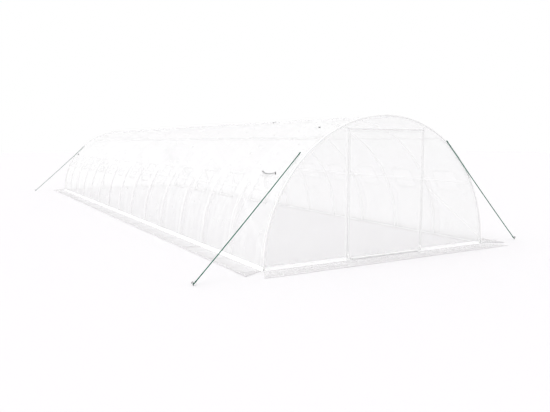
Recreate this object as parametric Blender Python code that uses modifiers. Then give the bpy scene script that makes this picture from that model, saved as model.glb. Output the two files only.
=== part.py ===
"""Greenhouse tent: a half-round film tunnel on steel hoops, with zip doors, window flaps and guy ropes.

Metres, +Z up. The origin is on the ground at the middle of the tunnel. X runs across it, and Y runs
along it from the front end to the back. Angles go round the arch, from 0 at a foot to 90 at the ridge.
"""

import math

import bmesh
import bpy
from mathutils import Matrix, Vector

# Tunnel
TUNNEL_LENGTH = 14.0
TUNNEL_WIDTH = 4.0
BAY_COUNT = 14
TOUCH_GAP = 0.0003

# Steel tube diameters
HOOP_TUBE = 0.025
PURLIN_TUBE = 0.025
BASE_RAIL_TUBE = 0.025
POST_TUBE = 0.025
HEADER_TUBE = 0.025
BRACE_TUBE = 0.019

# Saddle clips that hold the long tubes to the hoops
CLIP_WALL = 0.0025
CLIP_WIDTH = 0.025
CLIP_EASE = 0.0010

# Where things lie round the arch, in degrees above a foot
SIDE_PURLIN_ANGLE = 30.0
WINDOW_HALF_ANGLE = 6.0
ROPE_ANGLE = 48.0
SEAM_ANGLE = 57.0
RIDGE_ANGLE = 90.0
BRACE_LOW_ANGLE = 3.5
BRACE_HIGH_ANGLE = 26.0

# Film cover
FILM_THICKNESS = 0.0015
FILM_SAG = 0.018
LOW_WALL_ROW_COUNT = 3
HIGH_WALL_ROW_COUNT = 2
ROOF_ROW_COUNT = 8
GROUND_SAG_SHARE = 0.25
SIDE_SKIRT_WIDTH = 0.34
END_SKIRT_WIDTH = 0.38
SKIRT_FLARE = 0.19

# Windows and their flaps
FLAP_WIDTH = 0.52
NET_BORDER = 0.03
NET_RECESS = 0.0007
FLAP_THICKNESS = 0.0015
FLAP_HEADER_HEIGHT = 0.025
FLAP_GROUPS = (3, 4, 4, 3)

# Doors: the top of the doorway is set by its drop from the crown of the arch
DOOR_WIDTH = 1.30
DOOR_TOP_DROP = 0.25
DOOR_SILL = 0.05
CURTAIN_OVERLAP = 0.04
CURTAIN_THICKNESS = 0.0015
CURTAIN_CLEARANCE = 0.008
CURTAIN_FOLDS = 6
CURTAIN_FOLD_DEPTH = 0.004
CURTAIN_FOLD_MARGIN = 0.03
HEM_ROLL_DIAMETER = 0.024
HEM_ROLL_INSET = 0.03
HEM_ROLL_HEIGHT = 0.022
POST_CLEARANCE = 0.05
HEADER_RISE = 0.05

# Zip sliders
SLIDER_WIDTH = 0.014
SLIDER_DEPTH = 0.008
SLIDER_HEIGHT = 0.030
SLIDER_FOOT = 0.060
PULL_WIDTH = 0.007
PULL_DEPTH = 0.003
PULL_LENGTH = 0.034
PULL_LAP = 0.010

# Guy ropes and pegs
ROPE_DIAMETER = 0.014
ROPE_SAG = 0.012
ROPE_STEPS = 12
PEG_DIAMETER = 0.008
PEG_SHANK = 0.034
PEG_HOOK_RADIUS = 0.011
PEG_HOOK_TURN = 216.0
PEG_HOOK_STEPS = 6
ROPE_END_HEIGHT = 0.020

# Rope ends: the side (-1 left, 1 right), the angle and Y of the top on the cover, then the peg's X and Y
ROPE_PLACES = {
    "front_left": (-1, ROPE_ANGLE, -6.84, -3.040, -7.270),
    "front_right": (1, 54.9, None, 2.762, -7.064),
    "back_left": (-1, ROPE_ANGLE, 6.80, -2.911, 7.076),
    "back_right": (1, ROPE_ANGLE, 6.80, 2.911, 7.076),
}

# Facets of the tubes, and the angles above which an edge is shaded sharp
TUBE_SIDES = 8
TUBE_EDGE_ANGLE = 50.0
SHEET_EDGE_ANGLE = 30.0
WELD_DISTANCE = 0.00001
OUTER_FACE_DOT = 0.9

# Values that follow from those above
ARCH_RADIUS = TUNNEL_WIDTH / 2
HALF_LENGTH = TUNNEL_LENGTH / 2
BAY_LENGTH = TUNNEL_LENGTH / BAY_COUNT
FILM_INNER_RADIUS = ARCH_RADIUS - FILM_THICKNESS
HOOP_RADIUS = FILM_INNER_RADIUS - TOUCH_GAP - HOOP_TUBE / 2
HOOP_INNER_RADIUS = HOOP_RADIUS - HOOP_TUBE / 2
END_WALL_RADIUS = FILM_INNER_RADIUS - TOUCH_GAP
END_WALL_INNER_Y = HALF_LENGTH + HOOP_TUBE / 2 + CLIP_WALL + CLIP_EASE + 2.0 * TOUCH_GAP
END_WALL_OUTER_Y = END_WALL_INNER_Y + FILM_THICKNESS
CURTAIN_INNER_Y = END_WALL_OUTER_Y + TOUCH_GAP
CURTAIN_OUTER_Y = CURTAIN_INNER_Y + CURTAIN_THICKNESS
HEM_ROLL_LENGTH = DOOR_WIDTH - 2.0 * HEM_ROLL_INSET
POST_SPACING = DOOR_WIDTH + 2.0 * POST_CLEARANCE
DOOR_HEIGHT = ARCH_RADIUS - DOOR_TOP_DROP
HEADER_HEIGHT = DOOR_HEIGHT + HEADER_RISE


def clear_scene():
    """Remove every object that the scene starts with."""
    for leftover in list(bpy.data.objects):
        bpy.data.objects.remove(leftover, do_unlink=True)


def make_collection(name):
    """Return a new collection in the scene."""
    collection = bpy.data.collections.new(name)
    bpy.context.scene.collection.children.link(collection)
    return collection


def make_material(name, colour, roughness, metallic=0.0):
    """Return a material with one Principled BSDF."""
    material = bpy.data.materials.new(name)
    material.use_nodes = True
    shader = material.node_tree.nodes["Principled BSDF"]
    shader.inputs["Base Color"].default_value = (*colour, 1.0)
    shader.inputs["Roughness"].default_value = roughness
    shader.inputs["Metallic"].default_value = metallic
    return material


def place(name, data, material, location=(0.0, 0.0, 0.0), turn=0.0):
    """Link an object with the given mesh or curve, turned about Z."""
    if not data.materials:
        data.materials.append(material)
    item = bpy.data.objects.new(name, data)
    item.location = location
    item.rotation_euler = (0.0, 0.0, turn)
    TENT.objects.link(item)
    return item


def mesh_from(name, bm):
    """Turn a bmesh into a mesh with its faces pointing out."""
    bmesh.ops.recalc_face_normals(bm, faces=bm.faces)
    mesh = bpy.data.meshes.new(name)
    bm.to_mesh(mesh)
    bm.free()
    return mesh


def baked_mesh(item):
    """Return the welded mesh of an object as it is evaluated, in world space, and remove the object."""
    bpy.context.view_layer.update()
    evaluated = item.evaluated_get(bpy.context.evaluated_depsgraph_get())
    mesh = bpy.data.meshes.new_from_object(evaluated)
    mesh.transform(item.matrix_world)
    bm = bmesh.new()
    bm.from_mesh(mesh)
    bmesh.ops.remove_doubles(bm, verts=bm.verts, dist=WELD_DISTANCE)
    bpy.data.meshes.remove(mesh)
    name = item.name
    bpy.data.objects.remove(item, do_unlink=True)
    return mesh_from(name, bm)


def united(name, meshes, material):
    """Return one mesh that is the boolean union of several closed ones."""
    base = place(name, meshes[0], material)
    guests = []
    for index, mesh in enumerate(meshes[1:]):
        guest = place(f"{name}_piece_{index}", mesh, material)
        modifier = base.modifiers.new("join", "BOOLEAN")
        modifier.operation = "UNION"
        modifier.solver = "EXACT"
        modifier.object = guest
        guests.append(guest)
    mesh = baked_mesh(base)
    for guest in guests:
        bpy.data.objects.remove(guest, do_unlink=True)
    return mesh


def smooth(mesh, angle):
    """Shade the round faces of a mesh smooth and keep its corners sharp."""
    mesh.shade_smooth()
    mesh.set_sharp_from_angle(angle=math.radians(angle))


def box_mesh(name, low, high):
    """Return a box between two corners."""
    bm = bmesh.new()
    bmesh.ops.create_cube(bm, size=1.0)
    size = Vector(high) - Vector(low)
    middle = (Vector(high) + Vector(low)) / 2
    bmesh.ops.scale(bm, vec=size, verts=bm.verts)
    bmesh.ops.translate(bm, vec=middle, verts=bm.verts)
    return mesh_from(name, bm)


def rod_mesh(name, start, end, diameter):
    """Return a straight tube between two points, with corners of its section towards X, Y and Z."""
    start = Vector(start)
    end = Vector(end)
    bm = bmesh.new()
    bmesh.ops.create_cone(
        bm,
        cap_ends=True,
        segments=TUBE_SIDES,
        radius1=diameter / 2,
        radius2=diameter / 2,
        depth=(end - start).length,
    )
    turn = (end - start).to_track_quat("Z", "Y").to_matrix().to_4x4()
    bmesh.ops.transform(bm, matrix=Matrix.Translation((start + end) / 2) @ turn, verts=bm.verts)
    mesh = mesh_from(name, bm)
    smooth(mesh, TUBE_EDGE_ANGLE)
    return mesh


def tube_curve(name, points, diameter, sides=TUBE_SIDES):
    """Return a curve that is a capped tube along points."""
    curve = bpy.data.curves.new(name, "CURVE")
    curve.dimensions = "3D"
    curve.bevel_depth = diameter / 2
    curve.bevel_resolution = sides // 2 - 2
    curve.use_fill_caps = True
    spline = curve.splines.new("POLY")
    spline.points.add(len(points) - 1)
    for point, target in zip(spline.points, points):
        point.co = (*target, 1.0)
    spline.use_smooth = True
    return curve


def spread(first, last, steps):
    """Return evenly spaced values from first to last, both included."""
    return [first + (last - first) * step / steps for step in range(steps + 1)]


def wall_angles():
    """Return the angles of a side wall's rows, from the foot to the roof seam."""
    window_low = SIDE_PURLIN_ANGLE - WINDOW_HALF_ANGLE
    window_high = SIDE_PURLIN_ANGLE + WINDOW_HALF_ANGLE
    below = spread(0.0, window_low, LOW_WALL_ROW_COUNT)
    above = spread(window_high, ROPE_ANGLE, HIGH_WALL_ROW_COUNT)
    return below + [SIDE_PURLIN_ANGLE] + above + [SEAM_ANGLE]


def roof_angles():
    """Return the angles of the roof's rows, from seam to seam."""
    return spread(SEAM_ANGLE, 180.0 - SEAM_ANGLE, ROOF_ROW_COUNT)


def arch_angles():
    """Return every angle of the arch, from the left foot over the ridge to the right foot."""
    left = wall_angles()
    right = [180.0 - angle for angle in reversed(left)]
    return left[:-1] + roof_angles() + right[1:]


def arch_point(radius, angle, y, side=-1):
    """Return the point at an angle above the foot of one side."""
    turn = math.radians(angle)
    return Vector((side * radius * math.cos(turn), y, radius * math.sin(turn)))


def facet_radius(radius, angle):
    """Return how far the faceted arch lies from its centre at an angle between two of its corners."""
    corners = arch_angles()
    for low, high in zip(corners, corners[1:]):
        if low <= angle <= high:
            half = math.radians(high - low) / 2
            return radius * math.cos(half) / math.cos(math.radians(angle - low) - half)
    return radius


def arch_height(radius, x):
    """Return the height of the faceted arch above a point at x from the middle."""
    points = [arch_point(radius, angle, 0.0) for angle in arch_angles()]
    for low, high in zip(points, points[1:]):
        if low.x <= x <= high.x:
            return low.z + (high.z - low.z) * (x - low.x) / (high.x - low.x)
    return 0.0


def hoop_ys():
    """Return the Y of each hoop, from the front end to the back."""
    return [-HALF_LENGTH + bay * BAY_LENGTH for bay in range(BAY_COUNT + 1)]


def window_ys(bay):
    """Return the two Y values between which the window of a bay lies."""
    middle = -HALF_LENGTH + (bay + 0.5) * BAY_LENGTH
    return [middle - FLAP_WIDTH / 2, middle + FLAP_WIDTH / 2]


def film_ys():
    """Return the Y of each column of the cover."""
    columns = [-END_WALL_OUTER_Y]
    for bay in range(BAY_COUNT):
        columns.append(hoop_ys()[bay])
        columns.extend(window_ys(bay))
    return columns + [HALF_LENGTH, END_WALL_OUTER_Y]


def bow(share):
    """Return the height of a bow that is 0 at both of its ends and 1 in the middle."""
    return 4.0 * share * (1.0 - share)


def film_radius(angle, y):
    """Return the cover's inner radius, which sags between one hoop and the next."""
    if abs(y) >= HALF_LENGTH:
        return FILM_INNER_RADIUS
    along = ((y + HALF_LENGTH) / BAY_LENGTH) % 1.0
    height = min(angle, 180.0 - angle) / SIDE_PURLIN_ANGLE
    share = GROUND_SAG_SHARE + (1.0 - GROUND_SAG_SHARE) * min(1.0, height)
    return FILM_INNER_RADIUS - FILM_SAG * share * bow(along)


def bracket(values, wanted):
    """Return the two neighbours in a rising list that hold a value, and its share of the way."""
    for low, high in zip(values, values[1:]):
        if low <= wanted <= high:
            return low, high, (wanted - low) / (high - low)
    return values[0], values[0], 0.0


def on_cover(angle, y, lift, side):
    """Return the point at a height above the inner face of the faceted cover."""
    low_angle, high_angle, up = bracket(wall_angles(), angle)
    low_y, high_y, along = bracket(film_ys(), y)

    def corner(at_angle, at_y):
        return arch_point(film_radius(at_angle, at_y) + lift, at_angle, at_y, side)

    low = corner(low_angle, low_y).lerp(corner(low_angle, high_y), along)
    high = corner(high_angle, low_y).lerp(corner(high_angle, high_y), along)
    return low.lerp(high, up)


def sheet_grid(columns, rows, point_at):
    """Return a bmesh grid whose corners are point_at(column, row)."""
    bm = bmesh.new()
    across = len(columns) - 1
    up = len(rows) - 1
    bmesh.ops.create_grid(bm, x_segments=across, y_segments=up, size=0.5)
    for vertex in bm.verts:
        column = columns[round((vertex.co.x + 0.5) * across)]
        row = rows[round((vertex.co.y + 0.5) * up)]
        vertex.co = point_at(column, row)
    return bm


def face_towards(bm, direction_at):
    """Turn a sheet over where most of it looks against direction_at(face centre)."""
    bm.normal_update()
    if sum(face.normal.dot(direction_at(face.calc_center_median())) for face in bm.faces) < 0.0:
        bmesh.ops.reverse_faces(bm, faces=bm.faces)


def thickened(name, bm, thickness, material):
    """Return the closed mesh of a sheet that is thickened on its outer side."""
    mesh = bpy.data.meshes.new(name)
    bm.to_mesh(mesh)
    bm.free()
    item = place(name, mesh, material)
    solidify = item.modifiers.new("thickness", "SOLIDIFY")
    solidify.thickness = thickness
    solidify.offset = 1.0
    solidify.use_even_offset = True
    return baked_mesh(item)


def make_hoops(material):
    """Make the steel hoops, all of one bend, with their feet cut flat on the ground."""
    points = [arch_point(HOOP_RADIUS, angle, 0.0) for angle in arch_angles()]
    points[0] += (points[0] - points[1]).normalized() * HOOP_TUBE / 2
    points[-1] += (points[-1] - points[-2]).normalized() * HOOP_TUBE / 2
    curve = tube_curve("hoop", points, HOOP_TUBE)
    bm = bmesh.new()
    bm.from_mesh(baked_mesh(place("hoop", curve, material)))
    everything = bm.verts[:] + bm.edges[:] + bm.faces[:]
    cut = bmesh.ops.bisect_plane(
        bm,
        geom=everything,
        plane_co=(0.0, 0.0, 0.0),
        plane_no=(0.0, 0.0, -1.0),
        clear_outer=True,
    )
    rim = [item for item in cut["geom_cut"] if isinstance(item, bmesh.types.BMEdge)]
    bmesh.ops.holes_fill(bm, edges=rim, sides=TUBE_SIDES)
    mesh = mesh_from("hoop", bm)
    smooth(mesh, TUBE_EDGE_ANGLE)
    for index, y in enumerate(hoop_ys()):
        place(f"hoop_{index + 1:02d}", mesh, material, (0.0, y, 0.0))


def hoop_seat(angle):
    """Return a point of a hoop's centre line, and the angle that the hoop's outer side faces there."""
    corners = arch_angles()
    facing = angle
    for low, high in zip(corners, corners[1:]):
        if low < angle < high:
            facing = (low + high) / 2
    return arch_point(facet_radius(HOOP_RADIUS, angle), angle, 0.0), facing


def saddle_clip(name, centre, facing):
    """Return a half-round clip that wraps the inner side of a hoop, eased for the hoop's bend."""
    inner = HOOP_TUBE / 2 + TOUCH_GAP + CLIP_EASE
    outer = inner + CLIP_WALL
    turns = spread(0.0, math.pi, TUBE_SIDES // 2)
    outline = [(outer * math.cos(turn), -outer * math.sin(turn)) for turn in turns]
    outline += [(inner * math.cos(turn), -inner * math.sin(turn)) for turn in reversed(turns)]
    bm = bmesh.new()
    corners = [bm.verts.new((across, out, -CLIP_WIDTH / 2)) for across, out in outline]
    profile = bm.faces.new(corners)
    extruded = bmesh.ops.extrude_face_region(bm, geom=[profile])["geom"]
    top = [item for item in extruded if isinstance(item, bmesh.types.BMVert)]
    bmesh.ops.translate(bm, verts=top, vec=(0.0, 0.0, CLIP_WIDTH))
    outward = arch_point(1.0, facing, 0.0)
    along = Vector((0.0, 1.0, 0.0))
    tangent = along.cross(outward)
    axes = Matrix((along, outward, tangent)).transposed().to_4x4()
    bmesh.ops.transform(bm, matrix=Matrix.Translation(centre) @ axes, verts=bm.verts)
    return mesh_from(name, bm)


def long_tube(name, angle, diameter, material):
    """Make a tube that runs the tunnel's length inside the hoops, with a clip at each hoop."""
    seat, facing = hoop_seat(angle)
    offset = HOOP_TUBE / 2 + TOUCH_GAP + diameter / 2
    line = seat - arch_point(offset, facing, 0.0)
    end = Vector((0.0, HALF_LENGTH + HOOP_TUBE / 2, 0.0))
    tube = rod_mesh(name, line - end, line + end, diameter)
    spin = Matrix.Rotation(math.radians(facing), 4, "Y")
    tube.transform(Matrix.Translation(line) @ spin @ Matrix.Translation(-line))
    pieces = [tube]
    for index, y in enumerate(hoop_ys()):
        pieces.append(saddle_clip(f"{name}_clip_{index}", seat + Vector((0.0, y, 0.0)), facing))
    mesh = united(name, pieces, material)
    smooth(mesh, TUBE_EDGE_ANGLE)
    place(name, mesh, material)


def make_long_tubes(material):
    """Make the ridge and side purlins and the two base rails."""
    long_tube("ridge_purlin", RIDGE_ANGLE, PURLIN_TUBE, material)
    long_tube("left_purlin", SIDE_PURLIN_ANGLE, PURLIN_TUBE, material)
    long_tube("right_purlin", 180.0 - SIDE_PURLIN_ANGLE, PURLIN_TUBE, material)
    lean = math.radians(arch_angles()[1]) / 2
    drop = (HOOP_TUBE / 2 + TOUCH_GAP + BASE_RAIL_TUBE / 2) * math.sin(lean)
    height = max(BASE_RAIL_TUBE, CLIP_WIDTH) / 2 + drop + TOUCH_GAP
    rail_angle = math.degrees(math.asin(height / HOOP_RADIUS))
    long_tube("left_base_rail", rail_angle, BASE_RAIL_TUBE, material)
    long_tube("right_base_rail", 180.0 - rail_angle, BASE_RAIL_TUBE, material)


def make_braces(material):
    """Make the four diagonal tubes that stiffen the end bays."""
    touch = HOOP_TUBE / 2 + BRACE_TUBE / 2 + TOUCH_GAP
    half_turn = math.radians(BRACE_HIGH_ANGLE - BRACE_LOW_ANGLE) / 2
    inward = 2.0 * HOOP_RADIUS * math.sin(half_turn) ** 2
    touch *= math.hypot(1.0, inward / BAY_LENGTH)
    foot_radius = facet_radius(HOOP_RADIUS, BRACE_LOW_ANGLE) - touch
    head_radius = facet_radius(HOOP_RADIUS, BRACE_HIGH_ANGLE) - touch
    for side, side_name in ((-1, "left"), (1, "right")):
        for end, end_name in ((-1, "front"), (1, "back")):
            foot = arch_point(foot_radius, BRACE_LOW_ANGLE, end * HALF_LENGTH, side)
            head = arch_point(head_radius, BRACE_HIGH_ANGLE, end * (HALF_LENGTH - BAY_LENGTH), side)
            head += (head - foot).normalized() * HOOP_TUBE / 2
            curve = tube_curve(f"{end_name}_{side_name}_brace", (foot, head), BRACE_TUBE)
            place(curve.name, curve, material)


def film_panel(name, angles, side, material, skirt=False):
    """Make one sewn panel of the cover, with a ground skirt on a side wall that flares at its corners."""
    def point_at(y, row):
        if row is None:
            corner = math.copysign(SKIRT_FLARE, y) if abs(y) > HALF_LENGTH else 0.0
            return Vector((side * (ARCH_RADIUS + SIDE_SKIRT_WIDTH), y + corner, 0.0))
        return arch_point(film_radius(row, y), row, y, side)

    rows = ([None] if skirt else []) + list(angles)
    bm = sheet_grid(film_ys(), rows, point_at)
    face_towards(bm, lambda centre: Vector((centre.x, 0.0, centre.z)))
    mesh = thickened(name, bm, FILM_THICKNESS, material)
    if skirt:
        recess_windows(mesh, side)
    smooth(mesh, SHEET_EDGE_ANGLE)
    place(name, mesh, material)


def recess_windows(mesh, side):
    """Sink the net of each window into the outer face of a side wall."""
    bm = bmesh.new()
    bm.from_mesh(mesh)
    bm.normal_update()
    low = math.radians(SIDE_PURLIN_ANGLE - WINDOW_HALF_ANGLE)
    high = math.radians(SIDE_PURLIN_ANGLE + WINDOW_HALF_ANGLE)
    for bay in range(BAY_COUNT):
        start, end = window_ys(bay)
        window = []
        for face in bm.faces:
            centre = face.calc_center_median()
            angle = math.atan2(centre.z, side * centre.x)
            outward = face.normal.dot(Vector((centre.x, 0.0, centre.z)).normalized())
            if start < centre.y < end and low < angle < high and outward > OUTER_FACE_DOT:
                window.append(face)
        bmesh.ops.inset_region(bm, faces=window, thickness=NET_BORDER, depth=0.0, use_even_offset=True)
        bmesh.ops.inset_region(bm, faces=window, thickness=TOUCH_GAP, depth=-NET_RECESS)
        bm.normal_update()
    bm.to_mesh(mesh)
    bm.free()


def make_cover(material):
    """Make the three sewn panels of the film cover."""
    film_panel("cover_left_wall", wall_angles(), -1, material, skirt=True)
    film_panel("cover_right_wall", wall_angles(), 1, material, skirt=True)
    roof = roof_angles()
    trim = math.degrees(TOUCH_GAP / FILM_INNER_RADIUS)
    roof[0] += trim
    roof[-1] -= trim
    film_panel("cover_roof", roof, -1, material)


def flap_group(name, bays, side, material):
    """Make the window flaps of some bays, sewn to one header webbing, on their hinge line."""
    window_low = SIDE_PURLIN_ANGLE - WINDOW_HALF_ANGLE
    window_high = SIDE_PURLIN_ANGLE + WINDOW_HALF_ANGLE
    header = window_high - math.degrees(FLAP_HEADER_HEIGHT / ARCH_RADIUS)

    def point_at(y, angle):
        return on_cover(angle, y, FILM_THICKNESS + TOUCH_GAP, side)

    columns = []
    gaps = []
    for bay in bays:
        columns.extend(window_ys(bay))
        if bay != bays[-1]:
            columns.append(hoop_ys()[bay + 1])
            gaps.append((window_ys(bay)[1], window_ys(bay + 1)[0]))
    rows = [window_low, SIDE_PURLIN_ANGLE, header, window_high]
    bm = sheet_grid(columns, rows, point_at)
    header_low = min(point_at(y, header).z for y in columns) - TOUCH_GAP
    spare = []
    for face in bm.faces:
        centre = face.calc_center_median()
        between = any(start < centre.y < end for start, end in gaps)
        if between and centre.z < header_low:
            spare.append(face)
    bmesh.ops.delete(bm, geom=spare, context="FACES")
    face_towards(bm, lambda centre: Vector((centre.x, 0.0, centre.z)))
    mesh = thickened(name, bm, FLAP_THICKNESS, material)
    hinge = arch_point(ARCH_RADIUS + TOUCH_GAP + FLAP_THICKNESS, window_high, 0.0, side)
    mesh.transform(Matrix.Translation(-hinge))
    smooth(mesh, SHEET_EDGE_ANGLE)
    place(name, mesh, material, hinge)


def make_flaps(material):
    """Make the window flaps along both walls."""
    for side, side_name in ((-1, "left"), (1, "right")):
        first = 0
        for group, count in enumerate(FLAP_GROUPS):
            bays = range(first, min(first + count, BAY_COUNT))
            first += count
            if len(bays) > 0:
                flap_group(f"{side_name}_window_flaps_{group + 1}", bays, side, material)


def both_ends(name, mesh, material):
    """Place a mesh made at the front end, and the same one turned round for the back end."""
    place(f"front_{name}", mesh, material)
    place(f"back_{name}", mesh, material, turn=math.pi)


def end_wall_mesh(material):
    """Return the front wall: a half disc with a doorway, and its skirt on the ground with flared corners."""
    curve = bpy.data.curves.new("end_wall", "CURVE")
    curve.dimensions = "2D"
    curve.fill_mode = "BOTH"
    curve.extrude = FILM_THICKNESS / 2
    arch = [arch_point(END_WALL_RADIUS, angle, 0.0) for angle in arch_angles()]
    base = FILM_THICKNESS / 2
    outline = [(point.x, max(point.z, base)) for point in arch]
    half = DOOR_WIDTH / 2
    doorway = [(-half, DOOR_SILL), (half, DOOR_SILL), (half, DOOR_HEIGHT), (-half, DOOR_HEIGHT)]
    for loop in (outline, doorway):
        spline = curve.splines.new("POLY")
        spline.points.add(len(loop) - 1)
        for point, target in zip(spline.points, loop):
            point.co = (*target, 0.0, 1.0)
        spline.use_cyclic_u = True
    wall = place("end_wall", curve, material)
    wall.rotation_euler.x = math.pi / 2
    wall.location.y = -(END_WALL_INNER_Y + END_WALL_OUTER_Y) / 2
    skirt = box_mesh(
        "end_skirt",
        (-END_WALL_RADIUS, -END_WALL_OUTER_Y - END_SKIRT_WIDTH, 0.0),
        (END_WALL_RADIUS, -END_WALL_INNER_Y, FILM_THICKNESS),
    )
    for vertex in skirt.vertices:
        flare = SKIRT_FLARE if vertex.co.y < -END_WALL_OUTER_Y else -FILM_THICKNESS
        vertex.co.x *= 1.0 + flare / END_WALL_RADIUS
    return united("end_wall", [baked_mesh(wall), skirt], material)


def curtain_mesh(material):
    """Return the front door curtain, with shallow folds between its zips."""
    half = DOOR_WIDTH / 2 + CURTAIN_OVERLAP
    folded = DOOR_WIDTH / 2 - CURTAIN_FOLD_MARGIN
    top = DOOR_HEIGHT + CURTAIN_OVERLAP
    steps = 2 * CURTAIN_FOLDS
    columns = [-half] + spread(-folded, folded, steps) + [half]
    rows = [CURTAIN_CLEARANCE, DOOR_HEIGHT / 2, top]

    def point_at(x, z):
        depth = 0.0
        if abs(x) < folded and z < top:
            crest = round((x + folded) / (2.0 * folded) * steps) % 2
            depth = CURTAIN_FOLD_DEPTH * crest
        return Vector((x, -CURTAIN_INNER_Y - depth, z))

    bm = sheet_grid(columns, rows, point_at)
    face_towards(bm, lambda centre: Vector((0.0, -1.0, 0.0)))
    mesh = thickened("door_curtain", bm, CURTAIN_THICKNESS, material)
    smooth(mesh, SHEET_EDGE_ANGLE)
    return mesh


def hem_roll_mesh():
    """Return the bar in the front curtain's hem, which carries the curtain as it is rolled up."""
    y = -(CURTAIN_OUTER_Y + CURTAIN_FOLD_DEPTH + 2.0 * TOUCH_GAP + HEM_ROLL_DIAMETER / 2)
    start = (-HEM_ROLL_LENGTH / 2, y, HEM_ROLL_HEIGHT)
    end = (HEM_ROLL_LENGTH / 2, y, HEM_ROLL_HEIGHT)
    return rod_mesh("door_hem_roll", start, end, HEM_ROLL_DIAMETER)


def zip_slider_mesh(side, material):
    """Return a zip slider with its pull, at one edge of the front door."""
    x = side * (DOOR_WIDTH / 2 + CURTAIN_OVERLAP / 2)
    y = -CURTAIN_OUTER_Y - TOUCH_GAP
    body = box_mesh(
        "slider_body",
        (x - SLIDER_WIDTH / 2, y - SLIDER_DEPTH, SLIDER_FOOT),
        (x + SLIDER_WIDTH / 2, y, SLIDER_FOOT + SLIDER_HEIGHT),
    )
    pull_y = y - SLIDER_DEPTH
    pull = box_mesh(
        "slider_pull",
        (x - PULL_WIDTH / 2, pull_y - PULL_DEPTH / 2, SLIDER_FOOT + PULL_LAP - PULL_LENGTH),
        (x + PULL_WIDTH / 2, pull_y + PULL_DEPTH / 2, SLIDER_FOOT + PULL_LAP),
    )
    return united("zip_slider", [body, pull], material)


def make_ends(materials):
    """Make the frame, wall, door curtain, hem roll and zip sliders of both ends."""
    steel = materials["steel"]
    inner_reach = POST_SPACING / 2 + POST_TUBE / 2
    post_top = arch_height(HOOP_INNER_RADIUS, inner_reach) - TOUCH_GAP
    for side, side_name in ((-1, "left"), (1, "right")):
        foot = (side * POST_SPACING / 2, -HALF_LENGTH, 0.0)
        head = (side * POST_SPACING / 2, -HALF_LENGTH, post_top)
        post = rod_mesh(f"{side_name}_door_post", foot, head, POST_TUBE)
        both_ends(f"{side_name}_door_post", post, steel)
        slider = zip_slider_mesh(side, materials["zip"])
        both_ends(f"{side_name}_zip_slider", slider, materials["zip"])
    reach = POST_SPACING / 2 - POST_TUBE / 2 - TOUCH_GAP
    header = rod_mesh(
        "door_header",
        (-reach, -HALF_LENGTH, HEADER_HEIGHT),
        (reach, -HALF_LENGTH, HEADER_HEIGHT),
        HEADER_TUBE,
    )
    both_ends("door_header", header, steel)
    both_ends("end_wall", end_wall_mesh(materials["end_film"]), materials["end_film"])
    both_ends("door_curtain", curtain_mesh(materials["end_film"]), materials["end_film"])
    both_ends("door_hem_roll", hem_roll_mesh(), materials["hem"])


def rope_top(side, angle, y):
    """Return where a rope's end lies against the cover, or against its rim where no Y is given."""
    seat = ROPE_DIAMETER / 2 + TOUCH_GAP
    if y is None:
        front = -END_WALL_OUTER_Y - TOUCH_GAP - ROPE_DIAMETER / 2
        return arch_point(facet_radius(ARCH_RADIUS, angle), angle, front, side)
    return on_cover(angle, y, FILM_THICKNESS + seat, side)


def rope_points(top, low):
    """Return the points of a taut rope, which hangs a little below the straight line."""
    points = []
    for step in range(ROPE_STEPS + 1):
        share = step / ROPE_STEPS
        point = top.lerp(low, share)
        point.z -= ROPE_SAG * bow(share)
        points.append(point)
    return points


def peg_points(x, y, towards):
    """Return the points of a peg: a shank that stands on the ground, and a hook over the rope."""
    shank = [Vector((x, y, 0.0)), Vector((x, y, PEG_SHANK))]
    hook = []
    for turn in spread(0.0, math.radians(PEG_HOOK_TURN), PEG_HOOK_STEPS)[1:]:
        out = PEG_HOOK_RADIUS * (1.0 - math.cos(turn))
        up = PEG_HOOK_RADIUS * math.sin(turn)
        hook.append(Vector((x, y, PEG_SHANK + up)) - towards * out)
    return shank + hook


def make_ropes(rope_material, peg_material):
    """Make the four guy ropes and the pegs that hold them."""
    for name, (side, angle, y, peg_x, peg_y) in ROPE_PLACES.items():
        top = rope_top(side, angle, y)
        peg = Vector((peg_x, peg_y, ROPE_END_HEIGHT))
        run = (peg - top).normalized()
        level = Vector((run.x, run.y, 0.0)).normalized()
        stop = PEG_DIAMETER / 2 + TOUCH_GAP + ROPE_DIAMETER / 2 * abs(run.z)
        low = peg - level * stop
        rope = tube_curve(f"{name}_guy_rope", rope_points(top, low), ROPE_DIAMETER)
        place(rope.name, rope, rope_material)
        hook = tube_curve(f"{name}_peg", peg_points(peg_x, peg_y, -level), PEG_DIAMETER)
        place(f"{name}_peg", hook, peg_material)


def main():
    """Build the whole tent."""
    steel = make_material("galvanised_steel", (0.78, 0.79, 0.80), 0.35, 0.8)
    film = make_material("cover_film", (0.93, 0.94, 0.94), 0.40)
    end_film = make_material("end_film", (0.94, 0.95, 0.95), 0.35)
    flap = make_material("flap_film", (0.90, 0.91, 0.92), 0.45)
    hem = make_material("hem_webbing", (0.95, 0.95, 0.95), 0.70)
    zip_finish = make_material("zip_plastic", (0.90, 0.90, 0.90), 0.50)
    rope = make_material("green_rope", (0.03, 0.22, 0.14), 0.80)
    peg = make_material("peg_steel", (0.35, 0.36, 0.37), 0.40, 0.9)
    make_hoops(steel)
    make_long_tubes(steel)
    make_braces(steel)
    make_cover(film)
    make_flaps(flap)
    make_ends({"steel": steel, "end_film": end_film, "hem": hem, "zip": zip_finish})
    make_ropes(rope, peg)


clear_scene()
TENT = make_collection("greenhouse_tent")
main()
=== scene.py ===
"""Looks of the greenhouse tent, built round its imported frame.

A half-round film tunnel on steel hoops, with netted windows and flaps along both walls, a zip door in
each end and guy ropes at the corners. Metres, +Z up; X runs across the tunnel and Y along it from the
front end to the back, and the origin is on the ground at the middle. Angles go round the arch in
degrees, from 0 at a foot to 90 at the ridge.
"""

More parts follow.
